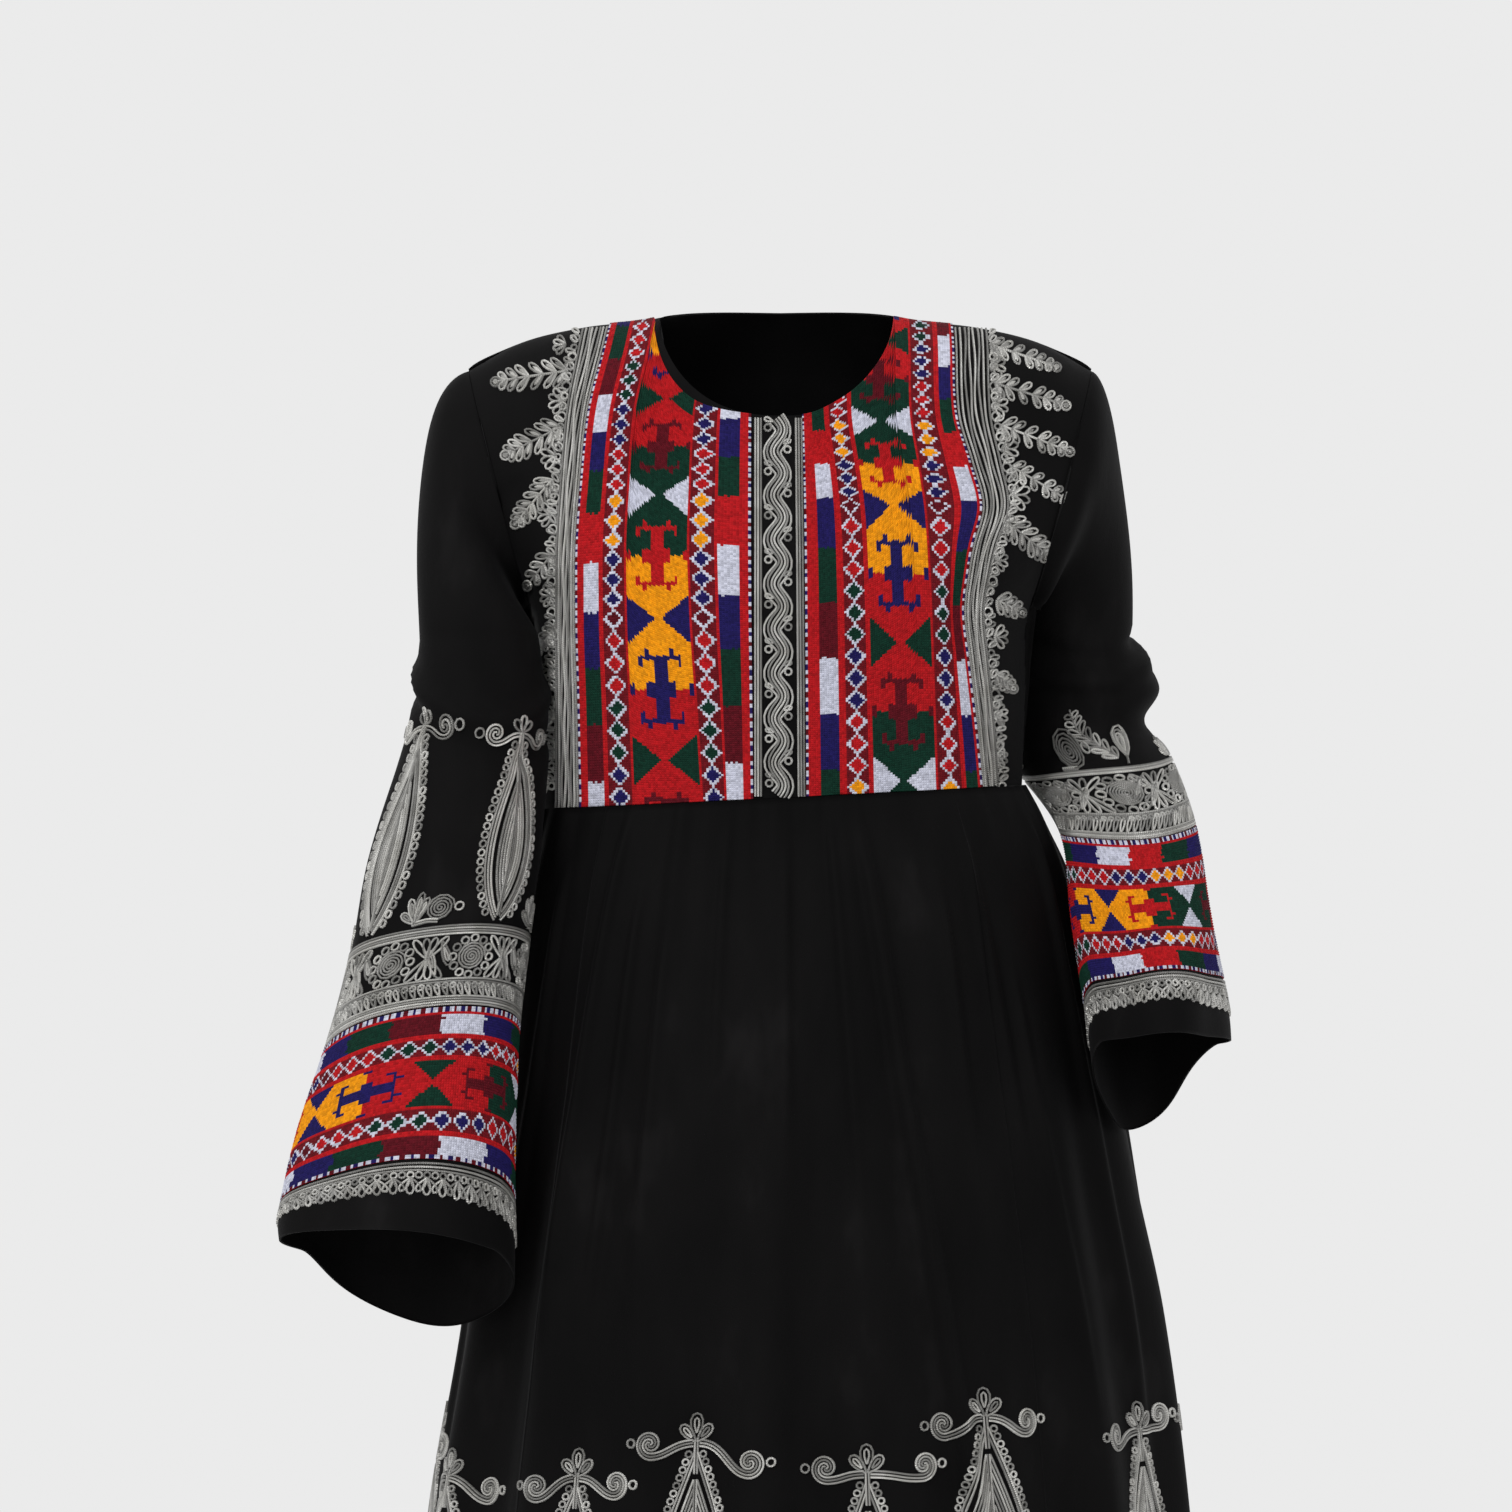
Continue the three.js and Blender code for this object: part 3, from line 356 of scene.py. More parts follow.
def sleeve_form(hand, sections, puff):
    """A sleeve's surface by turn and row: rows 0 to 1 are the cap and the rest are sections."""
    out = np.array([hand * ARM_OUT[0], 0, ARM_OUT[2]])
    numbered = np.column_stack([np.arange(len(sections)), sections])
    columns = [curve(numbered, k) for k in range(1, 9)]

    def section(turn, number):
        z, x, y, half, deep, outer, front, sag = (column(number) for column in columns)
        outer = np.radians(outer)
        front = np.radians(front)
        lateral = half * np.cos(2 * math.pi * turn)
        forward = deep * np.sin(2 * math.pi * turn)
        sagged = sag * np.maximum(np.cos(2 * math.pi * (turn - SAG_TURN)), 0) ** 1.5
        return points_of(
            x + hand * np.cos(outer) * lateral,
            y - np.cos(front) * forward,
            z - np.sin(outer) * lateral + np.sin(front) * forward - sagged,
        )

    def form(turn, row):
        turn, row = np.broadcast_arrays(np.asarray(turn, float), np.asarray(row, float))
        t = np.clip(row, 0, 1)[..., None]
        ring = armhole_ring(hand, turn) + out * SEAM_GAP
        arm = section(turn, np.zeros_like(row))
        span = np.linalg.norm(arm - ring, axis=-1, keepdims=True)
        above = (1 + np.cos(2 * math.pi * turn))[..., None] / 2
        leave = out * span * mix(ARMPIT_PUFF, puff, above)
        arrive = np.array([0, 0, -1]) * span * 0.9
        cap = mix(ring, arm, smooth(t)) + leave * t * (1 - t) ** 2 - arrive * t * t * (1 - t)
        low = section(turn, np.maximum(row - 1, 0))
        return np.where((row > 1)[..., None], low, cap)

    return form


SKIRT_RIGHT = curve(SKIRT, 1)
SKIRT_LEFT = curve(SKIRT, 2)
SKIRT_FRONT = curve(SKIRT, 3)
SKIRT_BACK = curve(SKIRT, 4)


def drop_steps(start, counts):
    """Drops down the skirt in three spans, each with its own count."""
    ends = (start, 160, 480, SKIRT_LENGTH)
    high, middle, low = (np.linspace(*span) for span in zip(ends, ends[1:], counts))
    return np.concatenate([high[:-1], middle[:-1], low])


# A fine net of the skirt, from which every place on it is read
NET_TURNS = 2400
NET_DROPS = drop_steps(0, (61, 51, 61))
RING_POINTS = 1441
ROUND_DROP = 200


def base_ring(drop):
    """The skirt's ring without folds, evenly spaced along its length from the front middle."""
    power = mix(SECTION_POWER, 2, np.clip(drop / ROUND_DROP, 0, 1))
    turn = np.linspace(0, 2 * math.pi, RING_POINTS)
    s = np.sin(turn)
    c = np.cos(turn)
    reach = np.where(s > 0, SKIRT_LEFT(drop), -SKIRT_RIGHT(drop))
    depth = np.where(c > 0, SKIRT_FRONT(drop), SKIRT_BACK(drop))
    x = np.sign(s) * reach * np.abs(s) ** (2 / power)
    y = -np.sign(c) * depth * np.abs(c) ** (2 / power)
    lengths = np.concatenate([[0], np.cumsum(np.hypot(np.diff(x), np.diff(y)))])
    target = np.arange(NET_TURNS) / NET_TURNS * lengths[-1]
    ring = np.column_stack([np.interp(target, lengths, x), np.interp(target, lengths, y)])
    tangent = np.roll(ring, -1, axis=0) - np.roll(ring, 1, axis=0)
    out = unit(np.column_stack([tangent[:, 1], -tangent[:, 0]]))
    return ring, out


def turns_apart(a, b):
    return a - b - np.round(a - b)


# Gathers: uneven places round the waist, with their own depth and length
GATHER_COUNT = 96
GATHER_PLACES = (np.arange(GATHER_COUNT) + RANDOM.uniform(-0.3, 0.3, GATHER_COUNT)) / GATHER_COUNT
GATHER_DEPTHS = RANDOM.uniform(1.6, 4.4, GATHER_COUNT)
GATHER_LENGTHS = RANDOM.uniform(35, 190, GATHER_COUNT)
GATHER_HALF = 1.15
HEM_DRAW = 6

# Narrow creases that run on down from the gathers: place in turns at the waist and at the
# crease drop, half width in turns, depth, and the drops between which each shows
CREASE_DROP = 600
CREASES = [
    (0.058, 0.108, 0.009, 9, 20, 620),
    (0.036, 0.055, 0.006, 4, 10, 330),
    (-0.118, -0.148, 0.007, 5, 5, 420),
    (-0.098, -0.118, 0.006, 4, 60, 400),
    (-0.076, -0.088, 0.006, 3.5, 90, 360),
    (0.112, 0.118, 0.006, 4, 60, 330),
    (0.135, 0.17, 0.007, 4.5, 10, 300),
    (0.151, 0.176, 0.006, 4, 120, 480),
    (0.004, 0.002, 0.006, 2.6, 30, 300),
    (-0.04, -0.045, 0.006, 2.8, 15, 260),
    (0.205, 0.215, 0.008, 5, 20, 520),
    (0.262, 0.272, 0.007, 4, 40, 420),
    (0.328, 0.335, 0.008, 5, 10, 560),
    (0.402, 0.398, 0.007, 4, 60, 380),
    (0.466, 0.461, 0.008, 5, 20, 600),
    (-0.43, -0.428, 0.007, 4, 30, 450),
    (-0.36, -0.362, 0.008, 5, 10, 520),
    (-0.292, -0.298, 0.007, 4, 60, 400),
    (-0.228, -0.236, 0.008, 5, 20, 560),
    (-0.165, -0.178, 0.007, 4, 40, 380),
]


def fold_out(turn, drop):
    """How far the skirt stands out from its base ring."""
    grown = drop / SKIRT_LENGTH
    out = np.zeros_like(turn)
    for waist, hem, half, depth in FOLDS:
        out += depth * bump(turns_apart(turn, mix(waist, hem, grown)), 0, half)
    out = out * grown ** 0.75 - HEM_DRAW * grown + 2.2 * math.exp(-drop / 95)
    for place, depth, length in zip(GATHER_PLACES, GATHER_DEPTHS, GATHER_LENGTHS):
        hill = bump(turns_apart(turn, place) * GATHER_COUNT, 0, GATHER_HALF)
        out += hill * depth * math.exp(-drop / length)
    out -= 2.6 * math.exp(-drop / 90)
    for waist, low, half, depth, start, end in CREASES:
        away = turns_apart(turn, mix(waist, low, drop / CREASE_DROP))
        shown = ramp(drop, start - 15, start + 40) * (1 - ramp(drop, end - 140, end))
        out += depth * shown * bump(away, 0, half)
    out += 1.5 * np.sin(turn * 2 * math.pi * 23 + drop * 0.006) * ramp(drop, 60, 260)
    return out


def skirt_net():
    turn = np.arange(NET_TURNS) / NET_TURNS
    rows = []
    for drop in NET_DROPS:
        ring, out = base_ring(drop)
        spread = ring + out * fold_out(turn, drop)[:, None]
        height = mix(waist_z(ring[:, 0]), HEM_Z, drop / SKIRT_LENGTH)
        rows.append(np.column_stack([spread, height]))
    return np.stack(rows)


NET = skirt_net()


def skirt_point(turn, drop):
    """A place on the skirt, read between the points of the net."""
    turn, drop = np.broadcast_arrays(np.asarray(turn, float), np.asarray(drop, float))
    column = (turn % 1) * NET_TURNS
    i = np.floor(column).astype(int) % NET_TURNS
    across = (column - np.floor(column))[..., None]
    row = np.interp(drop, NET_DROPS, np.arange(len(NET_DROPS)))
    j = np.minimum(row.astype(int), len(NET_DROPS) - 2)
    down = (row - j)[..., None]
    k = (i + 1) % NET_TURNS
    high = mix(NET[j, i], NET[j, k], across)
    low = mix(NET[j + 1, i], NET[j + 1, k], across)
    return mix(high, low, down)


# Sleeves with their creases
# The rate and start of the pull, then each bend: height out, slant, turn, place and half width,
# and last the height out and start of the waves near the cuff
RIGHT_CREASES = (0.03, 0, [(4.0, 26, 0.3, -262, 13), (-3.2, 30, 0.35, -284, 15)], 3.6, 0.7)
LEFT_CREASES = (0.035, 1, [(4.4, -22, 0.75, -238, 12), (-3.4, -24, 0.7, -220, 13)], 3.0, 2.1)


def sleeve_creases(turn, row, form, creases):
    """Creases of a sleeve, in millimetres out of its form."""
    rate, start, bends, wave, wave_start = creases
    z = form[..., 2]
    pull = 1.2 * np.sin(turn * 2 * math.pi * 3 + z * rate + start)
    bend = 0
    for height, slant, at, place, half in bends:
        bend = bend + height * bump(z + slant * np.cos(2 * math.pi * (turn - at)), place, half)
    waves = wave * np.sin(turn * 2 * math.pi * 4 + wave_start) * ramp(row, 5.5, LAST_ROW)
    return pull * ramp(row, 0.1, 0.9) + bend + waves


def creased_sleeve(hand, sections, puff, creases):
    form = sleeve_form(hand, sections, puff)

    def surface(turn, row):
        turn, row = np.broadcast_arrays(np.asarray(turn, float), np.asarray(row, float))
        base = form(turn, row)
        normal = surface_normal(form, turn, row, 0.004, 0.02, hand)
        out = sleeve_creases(turn, row, base, creases) * ramp(row, 0.02, 0.5)
        return base + normal * out[..., None]

    def normal(turn, row):
        return surface_normal(surface, turn, row, 0.003, 0.02, hand)

    return surface, normal


RIGHT_ARM, RIGHT_ARM_OUT = creased_sleeve(-1, RIGHT_SLEEVE, RIGHT_PUFF, RIGHT_CREASES)
LEFT_ARM, LEFT_ARM_OUT = creased_sleeve(1, LEFT_SLEEVE, LEFT_PUFF, LEFT_CREASES)


# Meshes
def linked(name, data):
    """A new object in the scene that holds the data."""
    obj = bpy.data.objects.new(name, data)
    bpy.context.scene.collection.objects.link(obj)
    return obj


def mesh_object(name, node, points, faces, material, smooth_faces=True):
    """A visible piece on the body, in place of a node of the frame."""
    mesh = bpy.data.meshes.new(name)
    mesh.vertices.add(len(points))
    mesh.vertices.foreach_set("co", (points * MM).astype(np.float32).ravel())
    count, corners = faces.shape
    mesh.loops.add(count * corners)
    mesh.loops.foreach_set("vertex_index", faces.astype(np.int32).ravel())
    mesh.polygons.add(count)
    mesh.polygons.foreach_set("loop_start", np.arange(0, count * corners, corners))
    mesh.polygons.foreach_set("use_smooth", np.full(count, smooth_faces))
    mesh.update(calc_edges=True)
    mesh.materials.append(material)
    obj = linked(name, mesh)
    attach(obj, "root")
    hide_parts(node)
    return obj


def grid_numbers(rows, columns, loop):
    """Numbers of a grid's points, where a loop has its first column again at the end."""
    number = np.arange(rows * columns).reshape(rows, columns)
    return np.concatenate([number, number[:, :1]], axis=1) if loop else number


def grid_faces(rows, columns, loop):
    number = grid_numbers(rows, columns, loop)
    corners = [number[:-1, :-1], number[:-1, 1:], number[1:, 1:], number[1:, :-1]]
    return np.stack(corners, axis=-1).reshape(-1, 4)


def rim_faces(rows, columns, loop, layer):
    """Faces from each open edge of a grid to the same edge of the layer that starts at a number."""
    number = grid_numbers(rows, columns, loop)
    edges = [number[0, ::-1], number[-1]]
    if not loop:
        edges += [number[:, 0], number[::-1, -1]]
    return [np.stack([e[1:], e[:-1], e[:-1] + layer, e[1:] + layer], axis=-1) for e in edges]


def outward(points, faces):
    """Four-cornered faces turned to point out of the closed mesh."""
    a, b, c, d = (points[faces[:, k]] for k in range(4))
    volume = np.einsum("ij,ij->i", a, np.cross(b, c) + np.cross(c, d)).sum()
    return faces[:, ::-1] if volume < 0 else faces


# Materials
def new_material(name):
    material = bpy.data.materials.new(name)
    material.use_nodes = True
    nodes = material.node_tree.nodes
    return material, nodes, material.node_tree.links, nodes["Principled BSDF"]


def noise(nodes, links, space, scale, detail, stretch=(1, 1, 1)):
    """A noise texture over the given coordinate output, stretched along its axes."""
    place = nodes.new("ShaderNodeMapping")
    place.inputs["Scale"].default_value = stretch
    links.new(space, place.inputs["Vector"])
    texture = nodes.new("ShaderNodeTexNoise")
    texture.inputs["Scale"].default_value = scale
    texture.inputs["Detail"].default_value = detail
    links.new(place.outputs["Vector"], texture.inputs["Vector"])
    return texture.outputs["Fac"]


def colour_ramp(nodes, links, value, stops):
    node = nodes.new("ShaderNodeValToRGB")
    elements = node.color_ramp.elements
    while len(elements) < len(stops):
        elements.new(0.5)
    for element, (at, colour) in zip(elements, stops):
        element.position = at
        element.color = (*colour, 1)
    links.new(value, node.inputs["Fac"])
    return node.outputs["Color"]


def bumped(nodes, links, height, distance, strength, below=None):
    node = nodes.new("ShaderNodeBump")
    node.inputs["Distance"].default_value = distance
    node.inputs["Strength"].default_value = strength
    links.new(height, node.inputs["Height"])
    if below is not None:
        links.new(below, node.inputs["Normal"])
    return node.outputs["Normal"]


def multiplied(nodes, links, first, second, amount):
    mixed = nodes.new("ShaderNodeMix")
    mixed.data_type = "RGBA"
    mixed.blend_type = "MULTIPLY"
    mixed.inputs["Factor"].default_value = amount
    links.new(first, mixed.inputs["A"])
    links.new(second, mixed.inputs["B"])
    return mixed.outputs["Result"]


def velvet_material():
    material, nodes, links, shader = new_material("black_velvet")
    space = nodes.new("ShaderNodeTexCoord").outputs["Object"]
    patches = noise(nodes, links, space, 16, 4, (1, 1, 0.45))
    tone = colour_ramp(nodes, links, patches, [
        (0.38, (0.0012, 0.0011, 0.0012)),
        (0.6, (0.0024, 0.0022, 0.0023)),
        (0.74, (0.006, 0.0056, 0.0058)),
    ])
    links.new(tone, shader.inputs["Base Color"])
    shader.inputs["Roughness"].default_value = 0.78
    shader.inputs["Specular IOR Level"].default_value = 0.07
    shader.inputs["Sheen Weight"].default_value = 0.018
    shader.inputs["Sheen Roughness"].default_value = 0.42
    shader.inputs["Sheen Tint"].default_value = (0.8, 0.8, 0.84, 1)
    nap = noise(nodes, links, space, 900, 2)
    crush = noise(nodes, links, space, 34, 5, (1, 1, 0.5))
    soft = bumped(nodes, links, crush, 0.0016, 0.45)
    links.new(bumped(nodes, links, nap, 0.0004, 0.5, soft), shader.inputs["Normal"])
    return material


def embroidery_material():
    material, nodes, links, shader = new_material("silk_embroidery")
    colour = nodes.new("ShaderNodeAttribute")
    colour.attribute_name = "stitch_colour"
    links.new(colour.outputs["Color"], shader.inputs["Base Color"])
    shader.inputs["Roughness"].default_value = 0.8
    shader.inputs["Specular IOR Level"].default_value = 0.12
    space = nodes.new("ShaderNodeTexCoord").outputs["Object"]
    threads = noise(nodes, links, space, 1100, 2)
    links.new(bumped(nodes, links, threads, 0.0004, 0.6), shader.inputs["Normal"])
    return material


def braid_material():
    """Metal thread: each cord has its own tone, and a twist by its own length, with painted shade
    in the grooves between its strands.
    """
    material, nodes, links, shader = new_material("silver_braid")
    space = nodes.new("ShaderNodeTexCoord").outputs["Object"]
    tarnish = noise(nodes, links, space, 55, 3)
    tone = colour_ramp(nodes, links, tarnish, [
        (0.3, (0.58, 0.57, 0.53)),
        (0.7, (0.86, 0.85, 0.815)),
    ])
    place = nodes.new("ShaderNodeAttribute")
    place.attribute_name = "twist"
    wave = nodes.new("ShaderNodeTexWave")
    wave.bands_direction = "DIAGONAL"
    wave.inputs["Scale"].default_value = 0.42
    wave.inputs["Distortion"].default_value = 1.2
    links.new(place.outputs["Vector"], wave.inputs["Vector"])
    parts = nodes.new("ShaderNodeSeparateXYZ")
    links.new(place.outputs["Vector"], parts.inputs["Vector"])
    own = colour_ramp(nodes, links, parts.outputs["Z"], [
        (0.05, (0.34, 0.34, 0.34)),
        (0.95, (1, 1, 1)),
    ])
    tone = multiplied(nodes, links, tone, own, 1)
    # Painted shade: the twist's bands darken the colour in the grooves between strands, and the
    # same bands also drive the bump below
    tone = multiplied(nodes, links, tone, wave.outputs["Color"], 0.5)
    links.new(tone, shader.inputs["Base Color"])
    shader.inputs["Metallic"].default_value = 0.55
    shader.inputs["Roughness"].default_value = 0.36
    strands = noise(nodes, links, space, 900, 2)
    fine = bumped(nodes, links, strands, 0.0005, 0.6)
    links.new(bumped(nodes, links, wave.outputs["Fac"], 0.0006, 0.8, fine), shader.inputs["Normal"])
    return material


VELVET = velvet_material()
EMBROIDERY = embroidery_material()
BRAID = braid_material()


# Velvet cloth
def cloth(node, points, normals, loop=False):
    """A closed sheet of velvet: the points are its outer side."""
    rows, columns = points.shape[:2]
    layer = rows * columns
    inside = points - normals * VELVET_WALL
    both = np.concatenate([points.reshape(-1, 3), inside.reshape(-1, 3)])
    outer = grid_faces(rows, columns, loop)
    rims = rim_faces(rows, columns, loop, layer)
    faces = np.concatenate([outer, outer[:, ::-1] + layer, *rims])
    return mesh_object("cloth_" + node, node, both, outward(both, faces), VELVET)


def grid_normals(points, loop=False):
    """Normals of a grid of points, by the differences along its rows and columns."""
    if loop:
        wide = np.concatenate([points[:, -1:], points, points[:, :1]], axis=1)
        across = wide[:, 2:] - wide[:, :-2]
    else:
        across = np.gradient(points, axis=1)
    return unit(np.cross(across, np.gradient(points, axis=0)))


def facing(points, normals, centre):
    """Normals turned to point away from a centre line."""
    away = points - centre
    return normals * np.sign((away * normals).sum(axis=-1).mean())


def span_steps(lines, per_line):
    """Line numbers for a grid, with evenly spread columns in each span."""
    steps = [np.linspace(i, i + 1, n, endpoint=False) for i, n in enumerate(per_line)]
    return np.concatenate([*steps, [len(lines) - 1]])


def torso_side(name, lines, top_of, side):
    widths = np.maximum(np.abs(np.diff(lines, axis=0)).max(axis=1), 6)
    u = span_steps(lines, np.ceil(widths / 4.0).astype(int))
    row = np.linspace(0, TOP_ROW, 96)
    x, z = torso_place(lines, top_of, u[None, :], row[:, None])
    points = torso_point(x, z, side)
    points[..., 1] += side * SEAM_GAP / 2
    normals = facing(points, grid_normals(points), TORSO_MIDDLE)
    normals[:, 0, 0] = -np.abs(normals[:, 0, 0])
    return cloth(name, points, normals)


BODICE_FRONT = torso_side("bodice_front", FRONT_LINES, front_top, -1)
BODICE_BACK = torso_side("bodice_back", BACK_LINES, back_top, 1)


def sleeve_cloth(name, surface):
    turn = np.arange(120) / 120
    row = np.concatenate([np.linspace(0, 1, 36)[:-1], np.linspace(1, LAST_ROW, 86)])
    points = surface(turn[None, :], row[:, None])
    centre = points.mean(axis=1, keepdims=True)
    normals = facing(points, grid_normals(points, True), centre)
    return cloth(name, points, normals, loop=True)


SLEEVE_RIGHT = sleeve_cloth("sleeve_right", RIGHT_ARM)
SLEEVE_LEFT = sleeve_cloth("sleeve_left", LEFT_ARM)


SKIRT_COLUMNS = 520


def skirt_cloth(name, start, end):
    turn = np.linspace(start, end, int((end - start) * SKIRT_COLUMNS))
    drop = drop_steps(0.15, (34, 38, 40))
    points = skirt_point(turn[None, :], drop[:, None])
    centre = points.mean(axis=1, keepdims=True) * np.array([0, 0, 1])
    normals = facing(points, grid_normals(points), centre)
    return cloth(name, points, normals)


SKIRT_PANELS = [skirt_cloth(*seams) for seams in SKIRT_SEAMS]


# Embroidery, charted in cells of one stitch each
RED, MAROON, BLUE, GREEN, YELLOW, WHITE, DARK = range(7)
THREADS = np.array([
    (0.36, 0.006, 0.009),
    (0.085, 0.003, 0.008),
    (0.010, 0.007, 0.075),
    (0.002, 0.024, 0.014),
    (0.66, 0.25, 0.003),
    (0.46, 0.47, 0.55),
    (0.115, 0.004, 0.008),
])
BLOCKS = np.array([BLUE, GREEN, MAROON, WHITE, BLUE, GREEN, RED, WHITE])
CHAIN_SETS = [RED, GREEN, BLUE, RED, YELLOW, BLUE]
CHAIN = np.array([c for c in CHAIN_SETS for _ in range(3)] + [MAROON]
                 + [c for c in CHAIN_SETS for _ in range(3)])
CHAIN_START = -18
CHAIN_RATE = 6.35
BLOCK_LENGTH = 0.4
WAIST_FIELD = np.array([GREEN, YELLOW, RED])
WAIST_SIDES = np.array([WHITE, BLUE, GREEN])
HORNS = np.array([RED, BLUE, MAROON])

# Strips on the red ground, from the placket outwards: kind, start and end across the panel, and
# the shift of its blocks
RIGHT_STRIPS = [
    ("dots", 0, 0.02, 0), ("blocks", 0.052, 0.144, 0.82), ("chain", 0.162, 0.284, 0),
    ("centre", 0.3, 0.68, 0), ("chain", 0.693, 0.826, 0), ("blocks", 0.85, 0.952, 0.95),
    ("dots", 0.984, 1.01, 0),
]
LEFT_STRIPS = [
    ("dots", 0, 0.02, 0), ("blocks", 0.08, 0.195, 0.915), ("chain", 0.225, 0.356, 0),
    ("centre", 0.38, 0.726, 0), ("chain", 0.75, 0.872, 0), ("blocks", 0.902, 0.975, 0.93),
    ("dots", 0.988, 1.01, 0),
]
CUFF_STRIPS = [
    ("dots", 0, 0.025, 0), ("blocks", 0.05, 0.175, 0.82), ("chain", 0.205, 0.335, 0),
    ("centre", 0.355, 0.655, 0), ("chain", 0.675, 0.805, 0), ("blocks", 0.835, 0.96, 0.9),
    ("dots", 0.975, 1.01, 0),
]
DOTS_RATE = 30
BLOCK_JITTER = 0.022
STITCH_LIFT = 0.9
STITCH_HEIGHT = 0.55
STITCH_SINK = 0.15


def centre_figure(w, along):
    """Stepped hourglass fields with a pair of horns in each, w from -1 to 1 across."""
    number = np.floor(along).astype(int)
    t = along - number
    low = (t >= 0.5).astype(int)
    s = np.where(low, 1 - t, t)
    a = np.abs(w)
    waist = (number + low) % 3
    sides = (s < 0.178) & (a > 0.1 + s / 0.178 * 0.9)
    horn = (s > 0.27) & (a < 0.2)
    horn |= (s > 0.262) & (s < 0.292) & (a < 0.66)
    horn |= (s > 0.218) & (s < 0.27) & (np.abs(a - 0.38) < 0.065)
    horn |= (s > 0.262) & (s < 0.34) & (np.abs(a - 0.62) < 0.065)
    horn |= (s > 0.445) & (a < 0.46)
    horn |= (s > 0.46) & (a > 0.86)
    colour = WAIST_FIELD[waist]
    colour = np.where(sides, WAIST_SIDES[waist], colour)
    return np.where(horn, HORNS[number % 3], colour)


def chain_figure(w, along):
    """A chain of white lozenges with filled centres on a dark ground."""
    place = (along - 1) * CHAIN_RATE
    number = np.round(place).astype(int)
    reach = np.abs(w) / 0.92 + np.abs(place - number) / 0.5
    filling = CHAIN[(number - CHAIN_START) % len(CHAIN)]
    colour = np.where(reach < 0.74, filling, DARK)
    return np.where((reach >= 0.74) & (reach < 1.04), WHITE, colour)


def chart(across, along, strips, jitter):
    """Thread numbers for cells placed across a panel from 0 to 1 and along its pattern."""
    colour = np.full(across.shape, RED)
    for kind, start, end, shift in strips:
        inside = (across >= start) & (across < end)
        w = (across - (start + end) / 2) / ((end - start) / 2)
        if kind == "blocks":
            start_at = along + jitter * BLOCK_JITTER - shift
            number = np.floor(start_at / BLOCK_LENGTH).astype(int)
            strip = BLOCKS[number % len(BLOCKS)]
        elif kind == "chain":
            strip = chain_figure(w, along)
        elif kind == "centre":
            strip = centre_figure(w, along)
        else:
            number = np.floor(along * DOTS_RATE).astype(int)
            strip = np.where(number % 2 == 0, WHITE, np.where(number % 4 == 1, BLUE, MAROON))
        colour = np.where(inside, strip, colour)
    return colour


def stitched_sheet(name, node, points, normals, colours, loop=False):
    """A sheet of stitches: each cell of the grid is a low pyramid of one colour."""
    rows, columns = points.shape[:2]
    flat_normals = normals.reshape(-1, 3)
    base = points.reshape(-1, 3) + flat_normals * STITCH_LIFT
    corners = grid_faces(rows, columns, loop)
    cell_normals = unit(flat_normals[corners].mean(axis=1))
    uneven = RANDOM.uniform(0.7, 1.3, (len(corners), 1))
    peaks = base[corners].mean(axis=1) + cell_normals * STITCH_HEIGHT * uneven
    peak_numbers = len(base) + np.arange(len(peaks))
    sides = []
    for k in range(4):
        sides.append(np.stack([corners[:, k], corners[:, (k + 1) % 4], peak_numbers], axis=-1))
    faces = np.stack(sides, axis=1).reshape(-1, 3)
    under = base - flat_normals * (STITCH_LIFT + STITCH_SINK)
    rims = []
    for quads in rim_faces(rows, columns, loop, len(base) + len(peaks)):
        rims += [quads[:, [0, 1, 2]], quads[:, [0, 2, 3]]]
    rims = np.concatenate(rims)
    all_points = np.concatenate([base, peaks, under])
    first, second, third = (all_points[faces[:, k]] for k in range(3))
    turned = np.cross(second - first, third - first) * np.repeat(cell_normals, 4, axis=0)
    every = np.concatenate([faces, rims])
    if turned.sum() < 0:
        every = every[:, ::-1]
    obj = mesh_object(name, node, all_points, every, EMBROIDERY, smooth_faces=False)
    tone = RANDOM.uniform(0.72, 1.14, (len(corners), 1))
    stitches = np.repeat(THREADS[colours.reshape(-1)] * tone, 4, axis=0)
    face_colours = np.concatenate([stitches, np.tile(THREADS[RED], (len(rims), 1))])
    rgba = np.ones((len(face_colours) * 3, 4), np.float32)
    rgba[:, :3] = np.repeat(face_colours, 3, axis=0)
    layer = obj.data.color_attributes.new("stitch_colour", "FLOAT_COLOR", "CORNER")
    layer.data.foreach_set("color", rgba.ravel())
    return obj


# Height and number of each waist of the pattern on a panel
RIGHT_WAISTS = np.array([
    (-415, 3), (-316, 2), (-217, 1), (-130.7, 0), (-63, -1), (2, -2), (60, -3),
])
LEFT_WAISTS = np.array([
    (-425, 4), (-330, 3), (-233.6, 2), (-138.6, 1), (-79, 0), (-20, -1), (40, -2),
])
PANEL_COLUMNS = 74
PANEL_ROWS = 195


